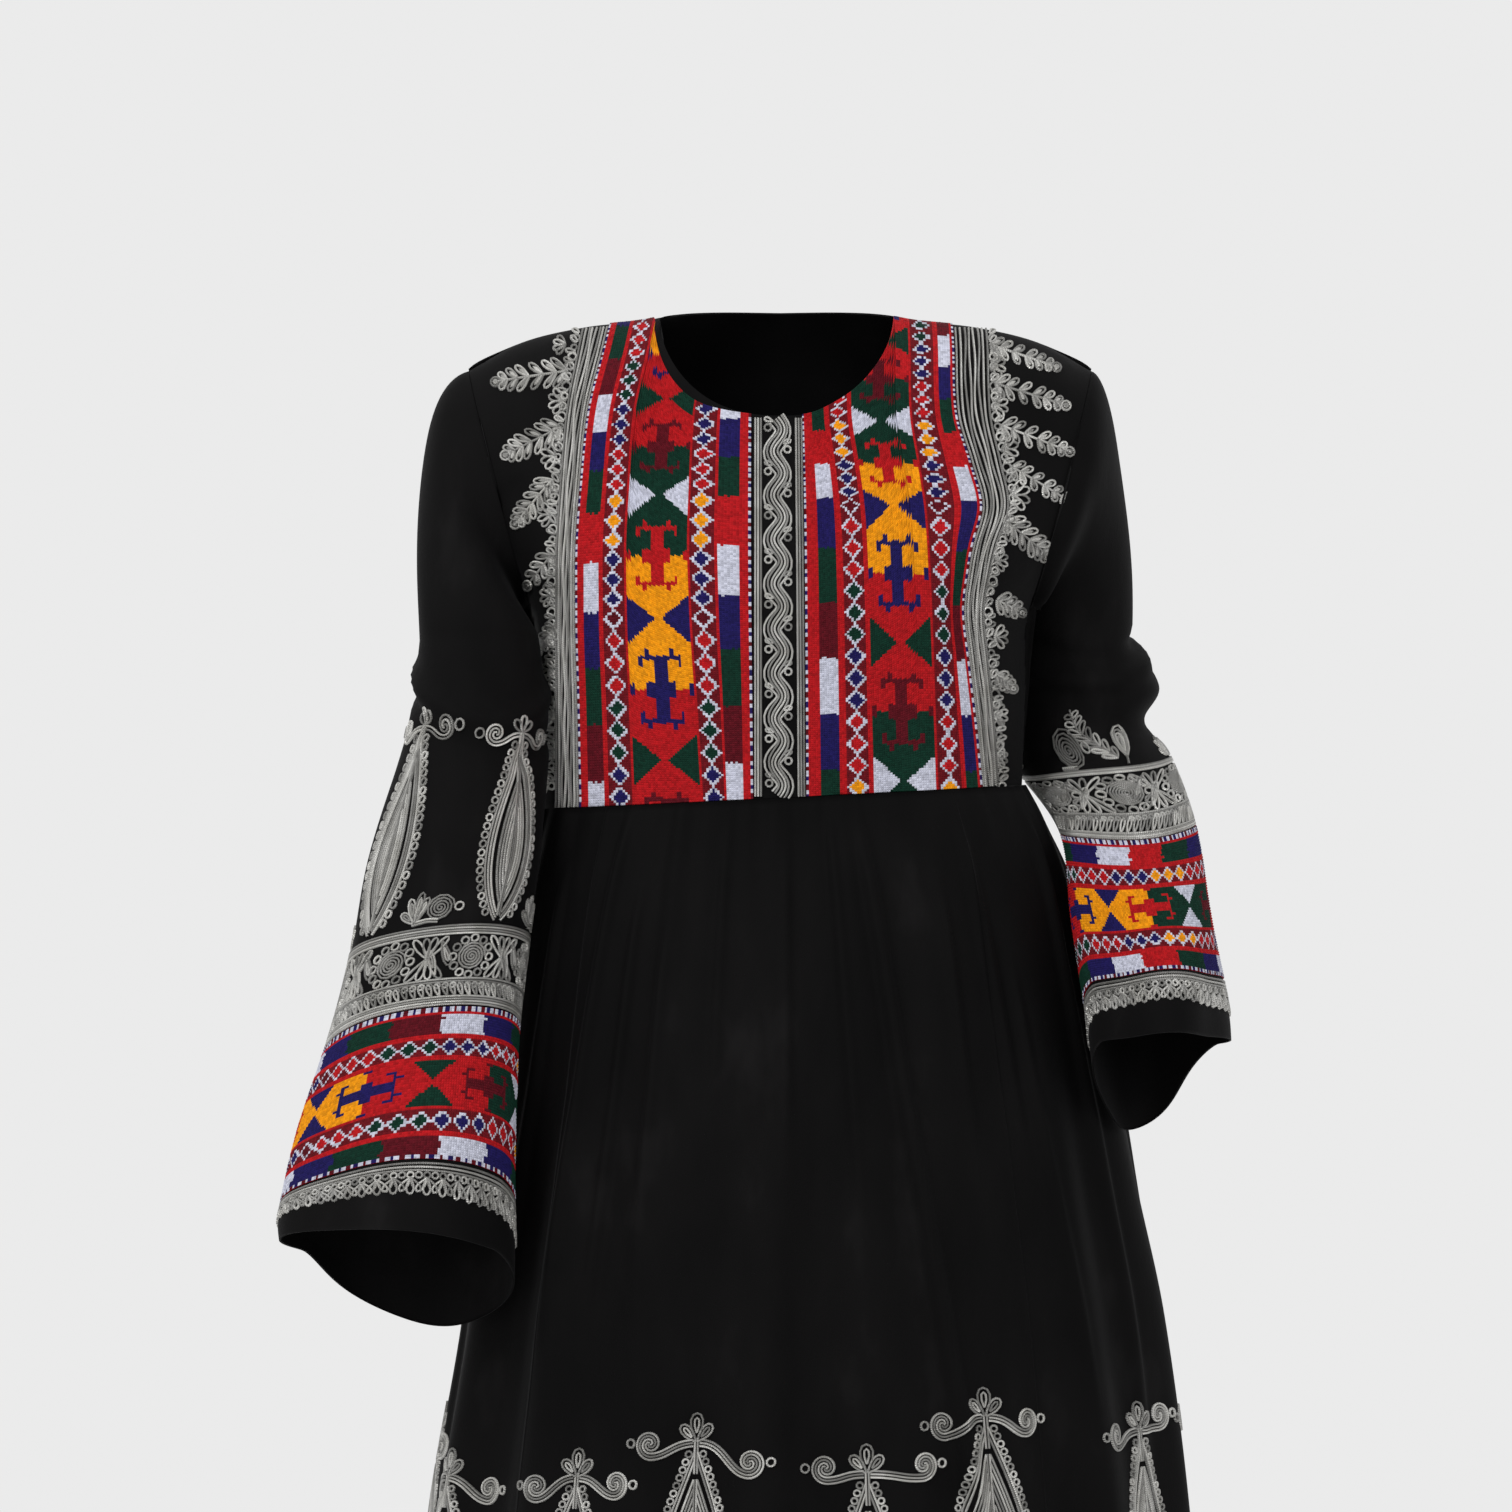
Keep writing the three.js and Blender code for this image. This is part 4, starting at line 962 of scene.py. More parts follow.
def embroidered_panel(hand, start, end, waists, strips, from_start):
    """A bodice panel between two lines of the front; strips are counted from the placket."""
    edges = np.linspace(0, 1, PANEL_COLUMNS + 1)
    waist = mix(FRONT_LINES[start, 0], FRONT_LINES[end, 0], edges)
    crest = mix(FRONT_LINES[start, 1], FRONT_LINES[end, 1], edges)
    low = waist_z(waist)
    top = front_top(crest)
    z = mix(low + SEAM_GAP, top, np.linspace(0, 1, PANEL_ROWS + 1)[:, None])
    outwards = edges if from_start else 1 - edges
    x = mix(waist, crest, (z - low) / (top - low)) + panel_pull(hand, outwards, z)
    points = front_point(x, z)
    normals = facing(points, grid_normals(points), TORSO_MIDDLE)
    middle = (points[:-1, :-1] + points[1:, 1:]) / 2
    across = (np.arange(PANEL_COLUMNS) + 0.5) / PANEL_COLUMNS
    if not from_start:
        across = 1 - across
    along = np.interp(middle[..., 2], waists[:, 0], waists[:, 1])
    jitter = RANDOM.uniform(-0.4, 0.4, PANEL_COLUMNS)[None, :]
    colours = chart(np.broadcast_to(across, along.shape), along, strips, jitter)
    node = "embroidered_panel_" + hand
    return stitched_sheet("stitched_panel_" + hand, node, points, normals, colours)


PANEL_RIGHT = embroidered_panel(
    "right", RIGHT_BORDER_IN, RIGHT_PLACKET, RIGHT_WAISTS, RIGHT_STRIPS, False
)
PANEL_LEFT = embroidered_panel(
    "left", LEFT_PLACKET, LEFT_BORDER_IN, LEFT_WAISTS, LEFT_STRIPS, True
)

CUFF_REPEATS = 5
CUFF_COLUMNS = 252
CUFF_ROWS = 61


def cuff_band(hand, surface, outward_normal, shift):
    """The stitched band round a sleeve, with its pattern shifted round by some repeats."""
    turn = np.arange(CUFF_COLUMNS) / CUFF_COLUMNS
    row = np.linspace(ROW_BAND_TOP + 0.01, ROW_BAND_LOW - 0.01, CUFF_ROWS + 1)
    points = surface(turn[None, :], row[:, None])
    normals = outward_normal(turn[None, :], row[:, None])
    cells = (CUFF_ROWS, CUFF_COLUMNS)
    across = np.broadcast_to(((np.arange(CUFF_ROWS) + 0.5) / CUFF_ROWS)[:, None], cells)
    along = np.broadcast_to((turn * CUFF_REPEATS + shift)[None, :], cells)
    jitter = RANDOM.uniform(-1, 1, (CUFF_ROWS, 1))
    colours = chart(across, along, CUFF_STRIPS, jitter)
    node = "cuff_band_" + hand
    return stitched_sheet("stitched_cuff_" + hand, node, points, normals, colours, loop=True)


CUFF_RIGHT = cuff_band("right", RIGHT_ARM, RIGHT_ARM_OUT, 0.55)
CUFF_LEFT = cuff_band("left", LEFT_ARM, LEFT_ARM_OUT, 2.3)


# Silver braid: paths drawn flat in millimetres, then laid on the cloth as raised cords
CORD_HALF = 0.86
CORD_HEIGHT = 1.5
CORD_PITCH = 2.15
TONE_STEP = 0.618
CORD_SECTION = np.array([(-1.0, -0.1), (-0.6, 0.9), (0.6, 0.9), (1.0, -0.1)])


def step_lengths(points):
    return np.linalg.norm(np.diff(points, axis=0), axis=1)


def lengths_along(points):
    """Length of a path from its start to each of its points."""
    return np.concatenate([[0], np.cumsum(step_lengths(points))])


def even_path(points, step):
    """The same path in even steps of about the given length."""
    points = np.asarray(points, float)
    lengths = lengths_along(points)
    count = max(int(math.ceil(lengths[-1] / step)), 2)
    at = np.linspace(0, lengths[-1], count + 1)
    x = np.interp(at, lengths, points[:, 0])
    y = np.interp(at, lengths, points[:, 1])
    return np.column_stack([x, y])


def beside(path):
    """Unit vectors to the left of a path."""
    ahead = np.gradient(path, axis=0)
    return unit(np.column_stack([-ahead[:, 1], ahead[:, 0]]))


def ring_path(x, y, radius, sides=9):
    turn = np.linspace(0, 2 * math.pi, sides + 1)
    return np.column_stack([x + radius * np.cos(turn), y + radius * np.sin(turn)])


def leaf_path(x, y, lean, length, half, sides=12):
    """A looped leaf from its root, leaning clockwise from straight up by some degrees."""
    t = np.linspace(0, 1, sides + 1)
    across = 1.3 * half * np.sin(2 * math.pi * t) * np.sin(math.pi * t)
    along = length * (1 - np.cos(2 * math.pi * t)) / 2
    c = math.cos(math.radians(lean))
    s = math.sin(math.radians(lean))
    return np.column_stack([x + across * c + along * s, y - across * s + along * c])


def full_leaf(x, y, lean, length, half):
    """A looped leaf with a second loop inside."""
    s = math.sin(math.radians(lean))
    c = math.cos(math.radians(lean))
    inner = length * 0.28
    return [
        leaf_path(x, y, lean, length, half),
        leaf_path(x + inner * s, y + inner * c, lean, length * 0.55, half * 0.4, 8),
    ]


def scroll_arm(stem, centre, radius, cords, step):
    """An arm of parallel cords that curls up into a spiral on the right, with a ring beside it."""
    stem = np.array(stem, float)
    centre = np.array(centre, float)
    foot = centre - (0, radius)
    reach = np.array([0.45 * (foot[0] - stem[0]), 0])
    t = np.linspace(0, 1, 14)[:, None]
    bend = stem * (1 - t) ** 3 + 3 * (stem + reach) * t * (1 - t) ** 2
    bend = bend + 3 * (foot - reach) * t * t * (1 - t) + foot * t ** 3
    left = beside(bend)
    paths = []
    for k in range(cords):
        width = radius - k * CORD_PITCH
        turns = (width - 0.8) / (CORD_PITCH * cords)
        angle = np.linspace(0, 2 * math.pi * turns, 40)
        r = width - CORD_PITCH * cords * angle / (2 * math.pi)
        curl = centre + np.column_stack([r * np.sin(angle), -r * np.cos(angle)])
        paths.append(even_path(np.concatenate([(bend + left * k * CORD_PITCH)[:-1], curl]), step))
    paths.append(ring_path(centre[0] + radius + 3.4, centre[1], 2.9))
    return paths


def mirrored(paths):
    return [path * (-1, 1) for path in paths]


def cypress(top, tall, half, step, edge_step, gap_at):
    """A pointed body of nested cords, with small rings along its edge and one cord left out."""
    t = np.linspace(0, 1, 70)
    y = top - tall * (1 - t)
    width = half * np.sin(math.pi * t ** 0.75)
    paths = []
    for k in range(int(half / CORD_PITCH) + 1):
        x = width - k * CORD_PITCH
        kept = x > 0.45 * CORD_PITCH
        if k == gap_at or kept.sum() < 4:
            continue
        side = even_path(np.column_stack([x[kept], y[kept]]), step if k > 1 else min(step, 5))
        paths += [side, side * (-1, 1)]
    seam = [top - tall * 0.96, top - tall * 0.1]
    paths += [even_path([(dx, seam[0]), (dx, seam[1])], step) for dx in (-0.9, 0.9)]
    edge = even_path(np.column_stack([width + 0.6, y]), edge_step)[2:-1]
    outer = edge - beside(edge) * 2.6
    for place in outer:
        paths += [ring_path(place[0], place[1], 2.1), ring_path(-place[0], place[1], 2.1)]
    return paths


def coil(x, y, radius):
    """One cord wound into a close round disc."""
    turns = radius / CORD_PITCH
    angle = np.linspace(0, 2 * math.pi * turns, int(11 * turns))
    r = radius * (1 - angle / angle[-1]) + 0.3
    return np.column_stack([x + r * np.cos(angle), y + r * np.sin(angle)])


def flower(x, y, radius):
    """A round flower: a close coil in the middle and a ring of petals."""
    petals = [coil(x, y, radius * 0.64)]
    count = 12
    for k in range(count):
        turn = 2 * math.pi * k / count
        petal_x = x + radius * 0.85 * math.cos(turn)
        petal_y = y + radius * 0.85 * math.sin(turn)
        petals.append(ring_path(petal_x, petal_y, radius * 0.17, 8))
    return petals


def wheat(x, y, tall, half):
    """An hourglass of leaves that spread up and down from a knot."""
    paths = [ring_path(x, y, 1.6, 7)]
    for lean in (-38, -13, 13, 38):
        length = tall / 2 / math.cos(math.radians(lean)) * 0.96
        paths.append(leaf_path(x, y, lean, length, half))
        paths.append(leaf_path(x, y, 180 - lean, length, half))
    return paths


def laid_cords(paths, surface, outward_normal):
    """Cords swept along paths of surface places: points, faces and each point's twist place."""
    counts = np.array([len(path) for path in paths])
    places = np.concatenate(paths)
    middle = surface(places[:, 0], places[:, 1])
    out = outward_normal(places[:, 0], places[:, 1])
    ahead = np.empty_like(middle)
    lengths = np.empty(len(middle))
    start = 0
    for count in counts:
        part = middle[start:start + count]
        ahead[start:start + count] = np.gradient(part, axis=0)
        lengths[start:start + count] = lengths_along(part)
        start += count
    side = unit(np.cross(ahead, out))
    across = side[:, None, :] * CORD_SECTION[None, :, :1] * CORD_HALF
    lift = out[:, None, :] * CORD_SECTION[None, :, 1:] * CORD_HEIGHT
    points = (middle[:, None, :] + across + lift).reshape(-1, 3)
    ends = np.cumsum(counts) - 1
    begin = np.setdiff1d(np.arange(len(middle)), ends)
    corner = begin[:, None] * 4 + np.arange(3)[None, :]
    faces = np.stack([corner, corner + 1, corner + 5, corner + 4], axis=-1).reshape(-1, 4)
    twist = np.zeros((len(middle), 4, 3), np.float32)
    twist[..., 0] = lengths[:, None]
    twist[..., 1] = CORD_SECTION[None, :, 0]
    tones = (np.arange(len(counts)) * TONE_STEP) % 1
    twist[..., 2] = np.repeat(tones, counts)[:, None]
    return points, faces, twist.reshape(-1, 3)


def braid_trim(node, paths, surface, outward_normal):
    """The cords of one trim, with the places that its material twists along."""
    points, faces, twist = laid_cords(paths, surface, outward_normal)
    obj = mesh_object("cords_" + node, node, points, faces, BRAID)
    layer = obj.data.attributes.new("twist", "FLOAT_VECTOR", "POINT")
    layer.data.foreach_set("vector", twist.ravel())
    return obj


# Braid of the bodice
RIGHT_SPRAYS = [
    (-149, -42, -205, -49, 15), (-153, -82, -196, -103, 15), (-159, -119, -188, -152, 13),
    (-160, -172, -180, -194, 11), (-158, -222, -172, -240, 9),
]
LEFT_SPRAYS = [
    (148, -22, 199, -39, 11), (150, -51, 205, -67, 12), (154, -81, 207, -100, 12),
    (161, -110, 208, -136, 10), (157, -148, 192, -174, 14), (151, -203, 172, -212, 11),
    (151, -256, 165, -266, 9),
]
RIGHT_TREFOILS = [
    (-152, -22, 9), (-152, -64, 11), (-157, -103, 11), (-160, -144, 10), (-160, -200, 9),
    (-159, -252, 9), (-159, -284, 8), (-159, -312, 8),
]
LEFT_TREFOILS = [
    (149, -38, 10), (150, -67, 10), (156, -98, 11), (162, -130, 13), (150, -176, 9),
    (150, -229, 10), (151, -284, 9), (152, -314, 8),
]


def line_x(number, z):
    """Place across of a front line, which may fall between two, at a height."""
    waist, crest = line_ends(FRONT_LINES, number)
    low = waist_z(waist)
    top = front_top(crest)
    return mix(waist, crest, (z - low) / (top - low))


SHORT_SPRAY = 34


def spray(root_x, root_z, tip_x, tip_z, half):
    """A stem with two clusters of looped leaves and a round loop at its tip."""
    root = np.array([root_x, root_z], float)
    stem = np.array([tip_x, tip_z], float) - root
    length = np.linalg.norm(stem)
    lean = math.degrees(math.atan2(stem[0], stem[1]))
    last = 1 if length > SHORT_SPRAY else 0.8
    paths = [even_path([root, root + stem * 0.94 * last], 3)]
    clusters = [(0.02, 1.0), (0.15, 0.92), (0.32, 0.88), (0.50, 0.86), (0.64, 0.74), (0.78, 0.55)]
    if length < SHORT_SPRAY:
        clusters = [(0.02, 1.0), (0.28, 0.9), (0.55, 0.75)]
    for at, size in clusters:
        place = root + stem * at
        for side in (-1, 1):
            leaf_lean = lean + side * 46
            paths.append(leaf_path(place[0], place[1], leaf_lean, half * size, 2.0))
            paths.append(leaf_path(place[0], place[1], leaf_lean, half * size * 0.7, 0.5, 6))
    tip = root + stem * 0.93
    paths += [ring_path(tip[0], tip[1], 3.4), ring_path(tip[0], tip[1], 1.4, 6)]
    return paths


def trefoil(x, z, hand, size):
    return [leaf_path(x, z, hand * lean, size, size * 0.2) for lean in (38, 70, 110, 142)]


def border_pull(hand, number, outer, inner, z):
    """How far a border line is drawn aside, most at the panel's side."""
    share = (number - outer) / (inner - outer)
    if hand < 0:
        return RIGHT_PULL(z) * mix(0.62, 1, share)
    return LEFT_PULL(z) * mix(0.4, 1, share) + LEFT_EDGE_PULL(z) * mix(1.1, 1, share)


BORDER_CORDS = 8


def border_paths(hand, outer, inner, sprays, trefoils):
    """Parallel cords between two front lines, rings outside them, sprays and trefoils."""
    paths = []
    for k in range(BORDER_CORDS):
        number = mix(outer, inner, (k + 0.5) / BORDER_CORDS)
        low = waist_z(line_x(number, WAIST_MIDDLE)) + 0.5
        high = SHOULDER_LINE(abs(line_x(number, 0))) - 0.6
        z = np.arange(low, high, 5.0)
        sway = 0.55 * np.sin(z * 0.11 + k * 1.9) if 1 < k < 6 else 0
        x = line_x(number, z) + border_pull(hand, number, outer, inner, z) + sway
        paths.append(np.column_stack([x, z]))
    for n, z in enumerate(np.arange(waist_z(0) + 8, -12, 7.2)):
        x = line_x(outer, z) + border_pull(hand, outer, outer, inner, z)
        size = 2.6 + 0.5 * math.sin(n * 2.3)
        paths.append(ring_path(x + hand * 2.4, z, size))
        paths.append(leaf_path(x, z + 3.6, hand * (58 + 24 * math.sin(n * 1.7)), 7.4, 1.5))
    for row in sprays:
        paths += spray(*row)
    for x, z, size in trefoils:
        paths += trefoil(x, z, hand, size)
    return paths


BORDER_RIGHT = braid_trim(
    "shoulder_border_right",
    border_paths(-1, RIGHT_BORDER_OUT, RIGHT_BORDER_IN, RIGHT_SPRAYS, RIGHT_TREFOILS),
    front_point, front_normal,
)
BORDER_LEFT = braid_trim(
    "shoulder_border_left",
    border_paths(1, LEFT_BORDER_OUT, LEFT_BORDER_IN, LEFT_SPRAYS, LEFT_TREFOILS),
    front_point, front_normal,
)

SNAKE_PERIOD = 31.0
SNAKE_SWING = 3.8
SNAKE_PITCH = 2.25


def placket_paths():
    """Three straight cords down each side and a winding band of five between them."""
    low = WAIST_MIDDLE + 1
    high = -NECK_DROP - 0.6
    z = np.arange(low, high, 2.4)
    left = line_x(LEFT_PLACKET, z)
    right = line_x(RIGHT_PLACKET, z)
    paths = []
    for k in range(3):
        inset = 1.4 + k * 1.95
        paths += [np.column_stack([left - inset, z])[::2], np.column_stack([right + inset, z])[::2]]
    middle = (left + right) / 2 - 0.6
    swing = middle + SNAKE_SWING * np.sin(2 * math.pi * z / SNAKE_PERIOD)
    snake = np.column_stack([swing, z])
    aside = beside(snake)
    for k in range(-2, 4):
        loose = 1 + 0.12 * np.sin(z * 0.21 + k * 1.7)
        paths.append(snake + aside * ((k - 0.5) * SNAKE_PITCH * loose)[:, None])
    for n in range(int(low / SNAKE_PERIOD * 2) - 1, 0):
        at = (n + 0.5) * SNAKE_PERIOD / 2
        if low + 4 < at < high - 4:
            side = -1 if n % 2 == 0 else 1
            centre = float(np.interp(at, z, middle))
            paths.append(ring_path(centre + side * 6.8, at + 1.5, 2.4))
            paths.append(leaf_path(centre + side * 3.4, at + 6, side * 70, 6, 1.4))
    return paths


PLACKET = braid_trim("placket", placket_paths(), front_point, front_normal)


# Braid of the sleeves
class SleeveLay:
    """Lays flat paths on a sleeve: x round it and y down from a row, both in millimetres."""

    def __init__(self, hand, surface):
        self.hand = hand
        self.surface = surface

    def girth(self, row):
        turn = np.linspace(0, 1, 181)
        ring = self.surface(turn, np.full(181, float(row)))
        return step_lengths(ring).sum()

    def height(self, top_row, low_row, count):
        """Length down the front of the sleeve between two rows, by a count of places."""
        return step_lengths(
            self.surface(np.full(count, 0.25), np.linspace(top_row, low_row, count))
        ).sum()

    def band(self, paths, top_row, low_row, tall, around):
        laid = []
        for path in paths:
            row = mix(top_row, low_row, -path[:, 1] / tall)
            laid.append(np.column_stack([path[:, 0] / around, row]))
        return laid

    def above(self, paths, turn):
        """Paths that stand on the braid's top row, round a turn of the sleeve."""
        rows = np.linspace(1, ROW_BRAID_TOP, 60)
        line = self.surface(np.full(60, float(turn)), rows)
        from_top = lengths_along(line)
        height = from_top[-1] - from_top
        girths = np.array([self.girth(row) for row in rows[::6]])
        laid = []
        for path in paths:
            y = path[:, 1]
            row = np.interp(-y, -height, rows)
            across = path[:, 0] / np.interp(row, rows[::6], girths)
            kept = (y > 0.5) & (y < height[0])
            if kept.sum() > 3:
                laid.append(np.column_stack([turn - self.hand * across, row])[kept])
        return laid


SLEEVE_MOTIF_TALL = 130.0
CURL_TURNS = {"right": (0.245, 0.49, 0.74, 0.995), "left": (0.49, 0.74, 0.995)}
SLEEVE_MOTIF_TURNS = {"right": [0.12, 0.365, 0.615, 0.87], "left": [0.19, 0.29, 0.615, 0.87]}
MOTIF_RISES = {"right": [1.3, 1.14, 1.0, 1.0], "left": [1.0, 1.0, 0.8, 0.8]}


def sleeve_motif_paths():
    paths = [leaf_path(0, -10, lean, 10, 2.4) for lean in (-48, 0, 48)]
    paths += [even_path([(dx, -10), (dx * 1.4, -26)], 3) for dx in (-1, 1)]
    arm = scroll_arm((1.5, -13), (20, -12), 7.4, 2, 2.0)
    paths += arm + mirrored(arm)
    return paths + cypress(-14, 116, 17.5, 5, 5.4, 3)


FLOWER_PITCH = 54
BAND_RING_PITCH = 5.2
CUFF_RING_PITCH = 5.4
RING_LINE_POINTS = 81


def sleeve_band_paths(around, tall):
    """Cords, a band of flowers, cords and a band of rings, for the whole way round."""
    units = int(round(around / FLOWER_PITCH))
    unit = around / units
    ring_line = np.linspace(0, around, RING_LINE_POINTS)
    flowers = 0.4 * tall
    rings = 0.84 * tall - 2.8
    half = 0.16 * tall - 4.8
    petal = 0.26 * tall
    lines = [1, 3, 5, 7, 0.665 * tall, 0.665 * tall + 2, tall - 7, tall - 5, tall - 3, tall - 1]
    paths = [np.column_stack([ring_line, np.full(RING_LINE_POINTS, -y)]) for y in lines]
    for n in range(units):
        x = (n + 0.3) * unit
        paths += flower(x, -flowers, petal)
        paths += wheat(x + petal + 0.16 * unit, -flowers, 2 * petal, 2.3)
        edge = x + petal + 0.3 * unit
        paths += full_leaf(edge, -flowers - petal * 0.8, -24, petal * 1.3, 2.6)
        paths += full_leaf(edge, -flowers + petal * 0.8, 156, petal * 1.3, 2.6)
    count = int(around / BAND_RING_PITCH)
    for n in range(count):
        x = (n + 0.5) * around / count
        paths.append(ring_path(x, -rings + half - 1.8, 1.9))
        paths.append(leaf_path(x + 2.6, -rings - half, -24, 2 * half, 1.4))
    return paths


def between_motifs():
    """A curl with leaves that stands on the braid between two sleeve motifs."""
    arm = [coil(3, 12.5, 9.3), ring_path(15.6, 12.5, 2.9)]
    arm += [even_path([(-14, y), (-4, y + 1.6), (3, y + 0.6)], 3) for y in (1.6, 3.6)]
    leaves = []
    for lean, length in ((-48, 13), (-16, 19), (6, 22), (22, 19)):
        leaves += full_leaf(-13, 3, lean, length, 2.4)
    return arm + leaves


def elbow_curl():
    """The curl that stands on the braid beside the elbow fold, and the ring beside it."""
    arm = [coil(0, 12, 11.5), ring_path(15, 13, 2.9)]
    arm += [even_path([(-13, y), (0, y)], 3) for y in (0.8, 2.4)]
    return [path * (0.85, 1.7) for path in arm]


def elbow_leaf():
    """A leaf spray and a bud above the braid at the elbow fold."""
    paths = [even_path([(3, 2), (5, 12)], 3)]
    paths += [leaf_path(5, 11 + 2 * k, 12, 28 - 5 * k, 6.2 - 1.6 * k) for k in range(4)]
    root = np.array([-3.0, 10.0])
    tip = np.array([-31.0, 52.0])
    lean = math.degrees(math.atan2(tip[0] - root[0], tip[1] - root[1]))
    paths.append(even_path([root, tip], 3))
    for at, size in ((0, 11), (0.14, 12), (0.28, 12), (0.42, 11), (0.56, 10), (0.7, 8), (0.84, 6)):
        place = mix(root, tip, at)
        for side in (-1, 1):
            paths.append(leaf_path(place[0], place[1], lean + side * 40, size, 1.8))
    return paths


def sleeve_trims(hand_name, hand, surface, outward_normal):
    """The braid above and below the stitched band, and the motifs that stand on it."""
    lay = SleeveLay(hand, surface)
    trims = []
    around = lay.girth((ROW_BRAID_TOP + ROW_BAND_TOP) / 2)
    tall = lay.height(ROW_BRAID_TOP, ROW_BAND_TOP, 40)
    paths = sleeve_band_paths(around, tall)
    laid = lay.band(paths, ROW_BRAID_TOP + 0.01, ROW_BAND_TOP - 0.01, tall, around)
    for turn in CURL_TURNS[hand_name]:
        laid += lay.above(between_motifs(), turn)
    trims.append(braid_trim("sleeve_braid_" + hand_name, laid, surface, outward_normal))
    around = lay.girth(ROW_BRAID_LOW)
    tall = lay.height(ROW_BAND_LOW, ROW_BRAID_LOW, 20)
    laid = lay.band(cuff_paths(around, tall), ROW_BAND_LOW + 0.03, ROW_BRAID_LOW, tall, around)
    trims.append(braid_trim("cuff_braid_" + hand_name, laid, surface, outward_normal))
    cypress_shape = [path + (0, SLEEVE_MOTIF_TALL) for path in sleeve_motif_paths()]
    shapes = [[path * (1, rise) for path in cypress_shape] for rise in MOTIF_RISES[hand_name]]
    if hand > 0:
        shapes[:2] = [elbow_leaf(), elbow_curl()]
    for number, turn in enumerate(SLEEVE_MOTIF_TURNS[hand_name]):
        node = "sleeve_motif_" + hand_name + "_" + str(number + 1)
        trims.append(braid_trim(node, lay.above(shapes[number], turn), surface, outward_normal))
    return trims


def cuff_paths(around, tall):
    """Cords, a row of rings and a row of scallops, for the whole way round."""
    ring_line = np.linspace(0, around, RING_LINE_POINTS)
    paths = [np.column_stack([ring_line, np.full(RING_LINE_POINTS, -y)]) for y in (1.1, 3.1, 5.1)]
    count = int(around / CUFF_RING_PITCH)
    for n in range(count):
        x = (n + 0.5) * around / count
        paths.append(ring_path(x, -8.4, 2.2))
        if n % 2 == 0:
            for lean, cut, half in ((180, 11.5, 2.4), (150, 12, 2.2), (210, 12, 2.2)):
                paths.append(leaf_path(x, -10.6, lean, tall - cut, half))
    return paths


TRIMS_RIGHT = sleeve_trims("right", -1, RIGHT_ARM, RIGHT_ARM_OUT)
TRIMS_LEFT = sleeve_trims("left", 1, LEFT_ARM, LEFT_ARM_OUT)


# Skirt motifs, each with its turn, its rise and the places of its two scrolls from its tip
MOTIF_DROP = 420.0
SCROLLS = ((-32, -27), (32, -27))
SKIRT_MOTIFS = [
    ("a", -0.19, -31, SCROLLS), ("b", -0.107, -25, ((-27, -27), (30, -24))),
    ("c", -0.0435, 0, ((-31, -21), (38, -34))), ("d", 0.0425, -23, ((-27, -17), (40, -17))),
    ("e", 0.1065, 10, ((-30, -24), (31, -25))), ("f", 0.207, -11, ((-32, -20), (25, -12))),
    ("g", 0.274, 0, SCROLLS), ("h", 0.341, -5, SCROLLS), ("i", 0.408, 3, SCROLLS),
    ("j", 0.475, -2, SCROLLS), ("k", 0.542, 4, SCROLLS), ("l", 0.609, -4, SCROLLS),
    ("m", 0.676, 2, SCROLLS), ("n", 0.743, -8, SCROLLS),
]


def skirt_out(turn, drop):
    return surface_normal(skirt_point, turn, drop, 0.0012, 3.0, -1)


def skirt_girth(drop):
    """Length of the skirt's ring at a drop, without its folds."""
    a = (SKIRT_LEFT(drop) - SKIRT_RIGHT(drop)) / 2
    b = (SKIRT_FRONT(drop) + SKIRT_BACK(drop)) / 2
    return math.pi * (3 * (a + b) - np.sqrt((3 * a + b) * (a + 3 * b)))


def skirt_motif_paths(scrolls, step):
    (left_x, left_y), (right_x, right_y) = scrolls
    paths = full_leaf(0, -19, 0, 18.5, 4.2)
    paths += full_leaf(-0.5, -20, -40, 15, 3.4) + full_leaf(0.5, -20, 40, 15, 3.4)
    paths += [even_path([(dx, -19), (dx, -42)], 4) for dx in (-1, 1)]
    paths += scroll_arm((2, -23), (right_x, right_y), 10.8, 3, step * 0.5)
    paths += mirrored(scroll_arm((2, -23), (-left_x, left_y), 10.8, 3, step * 0.5))
    return paths + cypress(-24, 216, 32, step * 1.5, 5.6, 2)


# The motifs of the front are drawn in finer steps than those behind
FRONT_MOTIFS = "abcdef"
FRONT_STEP = 4.5
BACK_STEP = 7


def skirt_motif(name, turn, rise, scrolls):
    laid = []
    for path in skirt_motif_paths(scrolls, FRONT_STEP if name in FRONT_MOTIFS else BACK_STEP):
        drop = MOTIF_DROP - rise - path[:, 1]
        laid.append(np.column_stack([turn + path[:, 0] / skirt_girth(drop), drop]))
    return braid_trim("skirt_motif_" + name, laid, skirt_point, skirt_out)


MOTIF_CORDS = {row[0]: skirt_motif(*row) for row in SKIRT_MOTIFS}


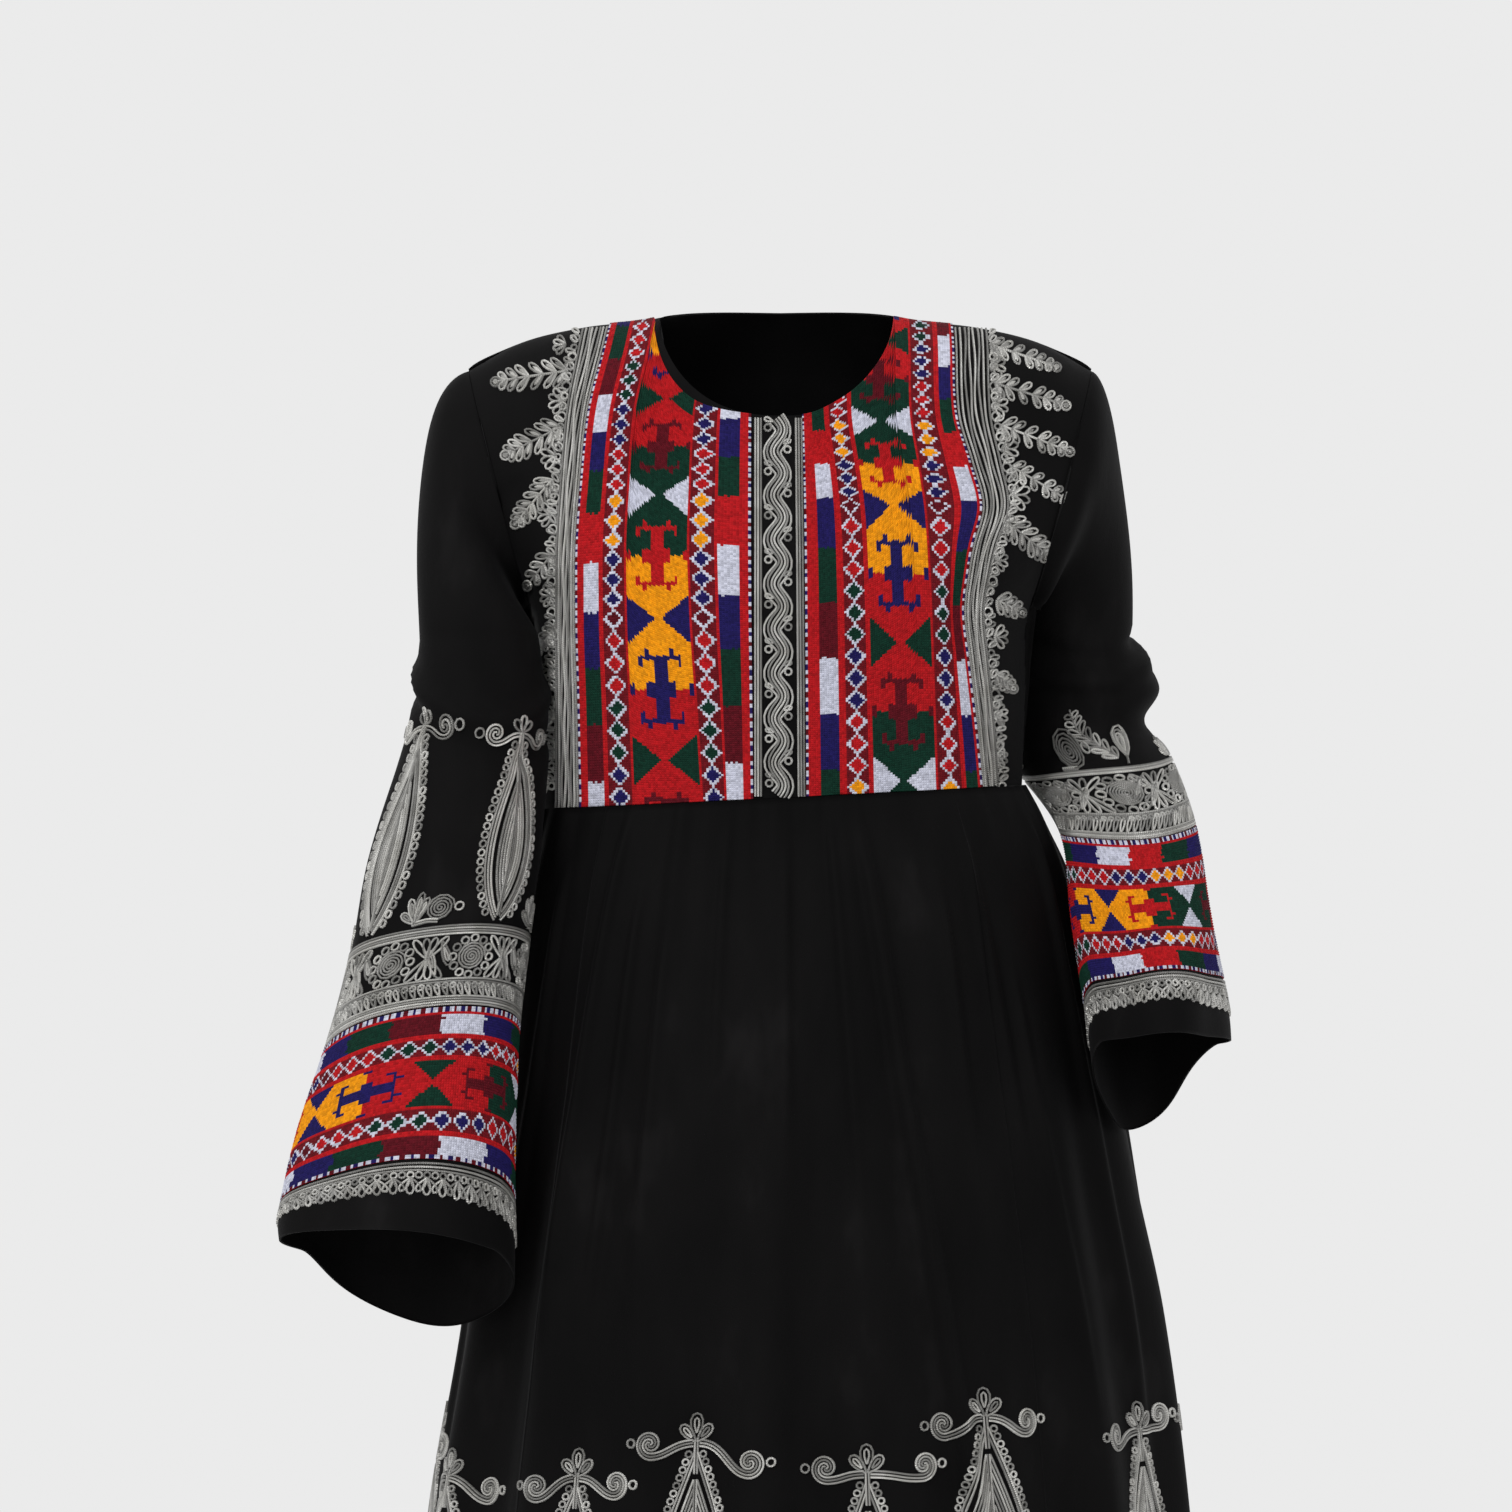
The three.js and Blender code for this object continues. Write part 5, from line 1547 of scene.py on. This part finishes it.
# Camera, light and floor
CAMERA_DISTANCE = 4.2
FRAME_WIDTH = 1.08
SENSOR = 36.0
AIM = (-0.0171, 0.0, -0.3129)
LIGHT_AIM = (0, 0, -0.4)
FLOOR_REACH = 2300.0
FLOOR_DROP = 2
FLOOR_CORNERS = ((-1, -1), (1, -1), (1, 1), (-1, 1))


def add_camera():
    data = bpy.data.cameras.new("camera")
    data.sensor_width = SENSOR
    data.lens = SENSOR * CAMERA_DISTANCE / FRAME_WIDTH
    data.clip_end = 60
    obj = linked("camera", data)
    obj.location = (AIM[0], AIM[1] - CAMERA_DISTANCE, AIM[2])
    obj.rotation_euler = (math.pi / 2, 0, 0)
    bpy.context.scene.camera = obj


def add_area_light(name, place, aim, size, power):
    data = bpy.data.lights.new(name, "AREA")
    data.size = size
    data.energy = power
    obj = linked(name, data)
    away = np.array(place) - np.array(aim)
    flat = math.hypot(away[0], away[1])
    obj.location = place
    obj.rotation_euler = (math.atan2(flat, away[2]), 0, math.atan2(away[0], -away[1]))


def add_floor():
    level = HEM_Z - FLOOR_DROP
    corners = np.array([(x * FLOOR_REACH, y * FLOOR_REACH, level) for x, y in FLOOR_CORNERS])
    mesh = bpy.data.meshes.new("floor")
    mesh.from_pydata((corners * MM).tolist(), [], [(0, 1, 2, 3)])
    material, *_, shader = new_material("pale_floor")
    shader.inputs["Base Color"].default_value = (0.78, 0.78, 0.78, 1)
    shader.inputs["Roughness"].default_value = 0.9
    mesh.materials.append(material)
    linked("floor", mesh)


def add_world():
    world = bpy.data.worlds.new("studio")
    world.use_nodes = True
    background = world.node_tree.nodes["Background"]
    background.inputs["Color"].default_value = (0.83, 0.83, 0.83, 1)
    background.inputs["Strength"].default_value = 1.0
    bpy.context.scene.world = world


add_camera()
add_area_light("key", (-1.6, -2.2, 1.6), LIGHT_AIM, 1.1, 60)
add_area_light("fill", (2.2, -2.0, 0.4), LIGHT_AIM, 1.4, 14)
add_floor()
add_world()
bpy.context.scene.view_settings.view_transform = "Standard"
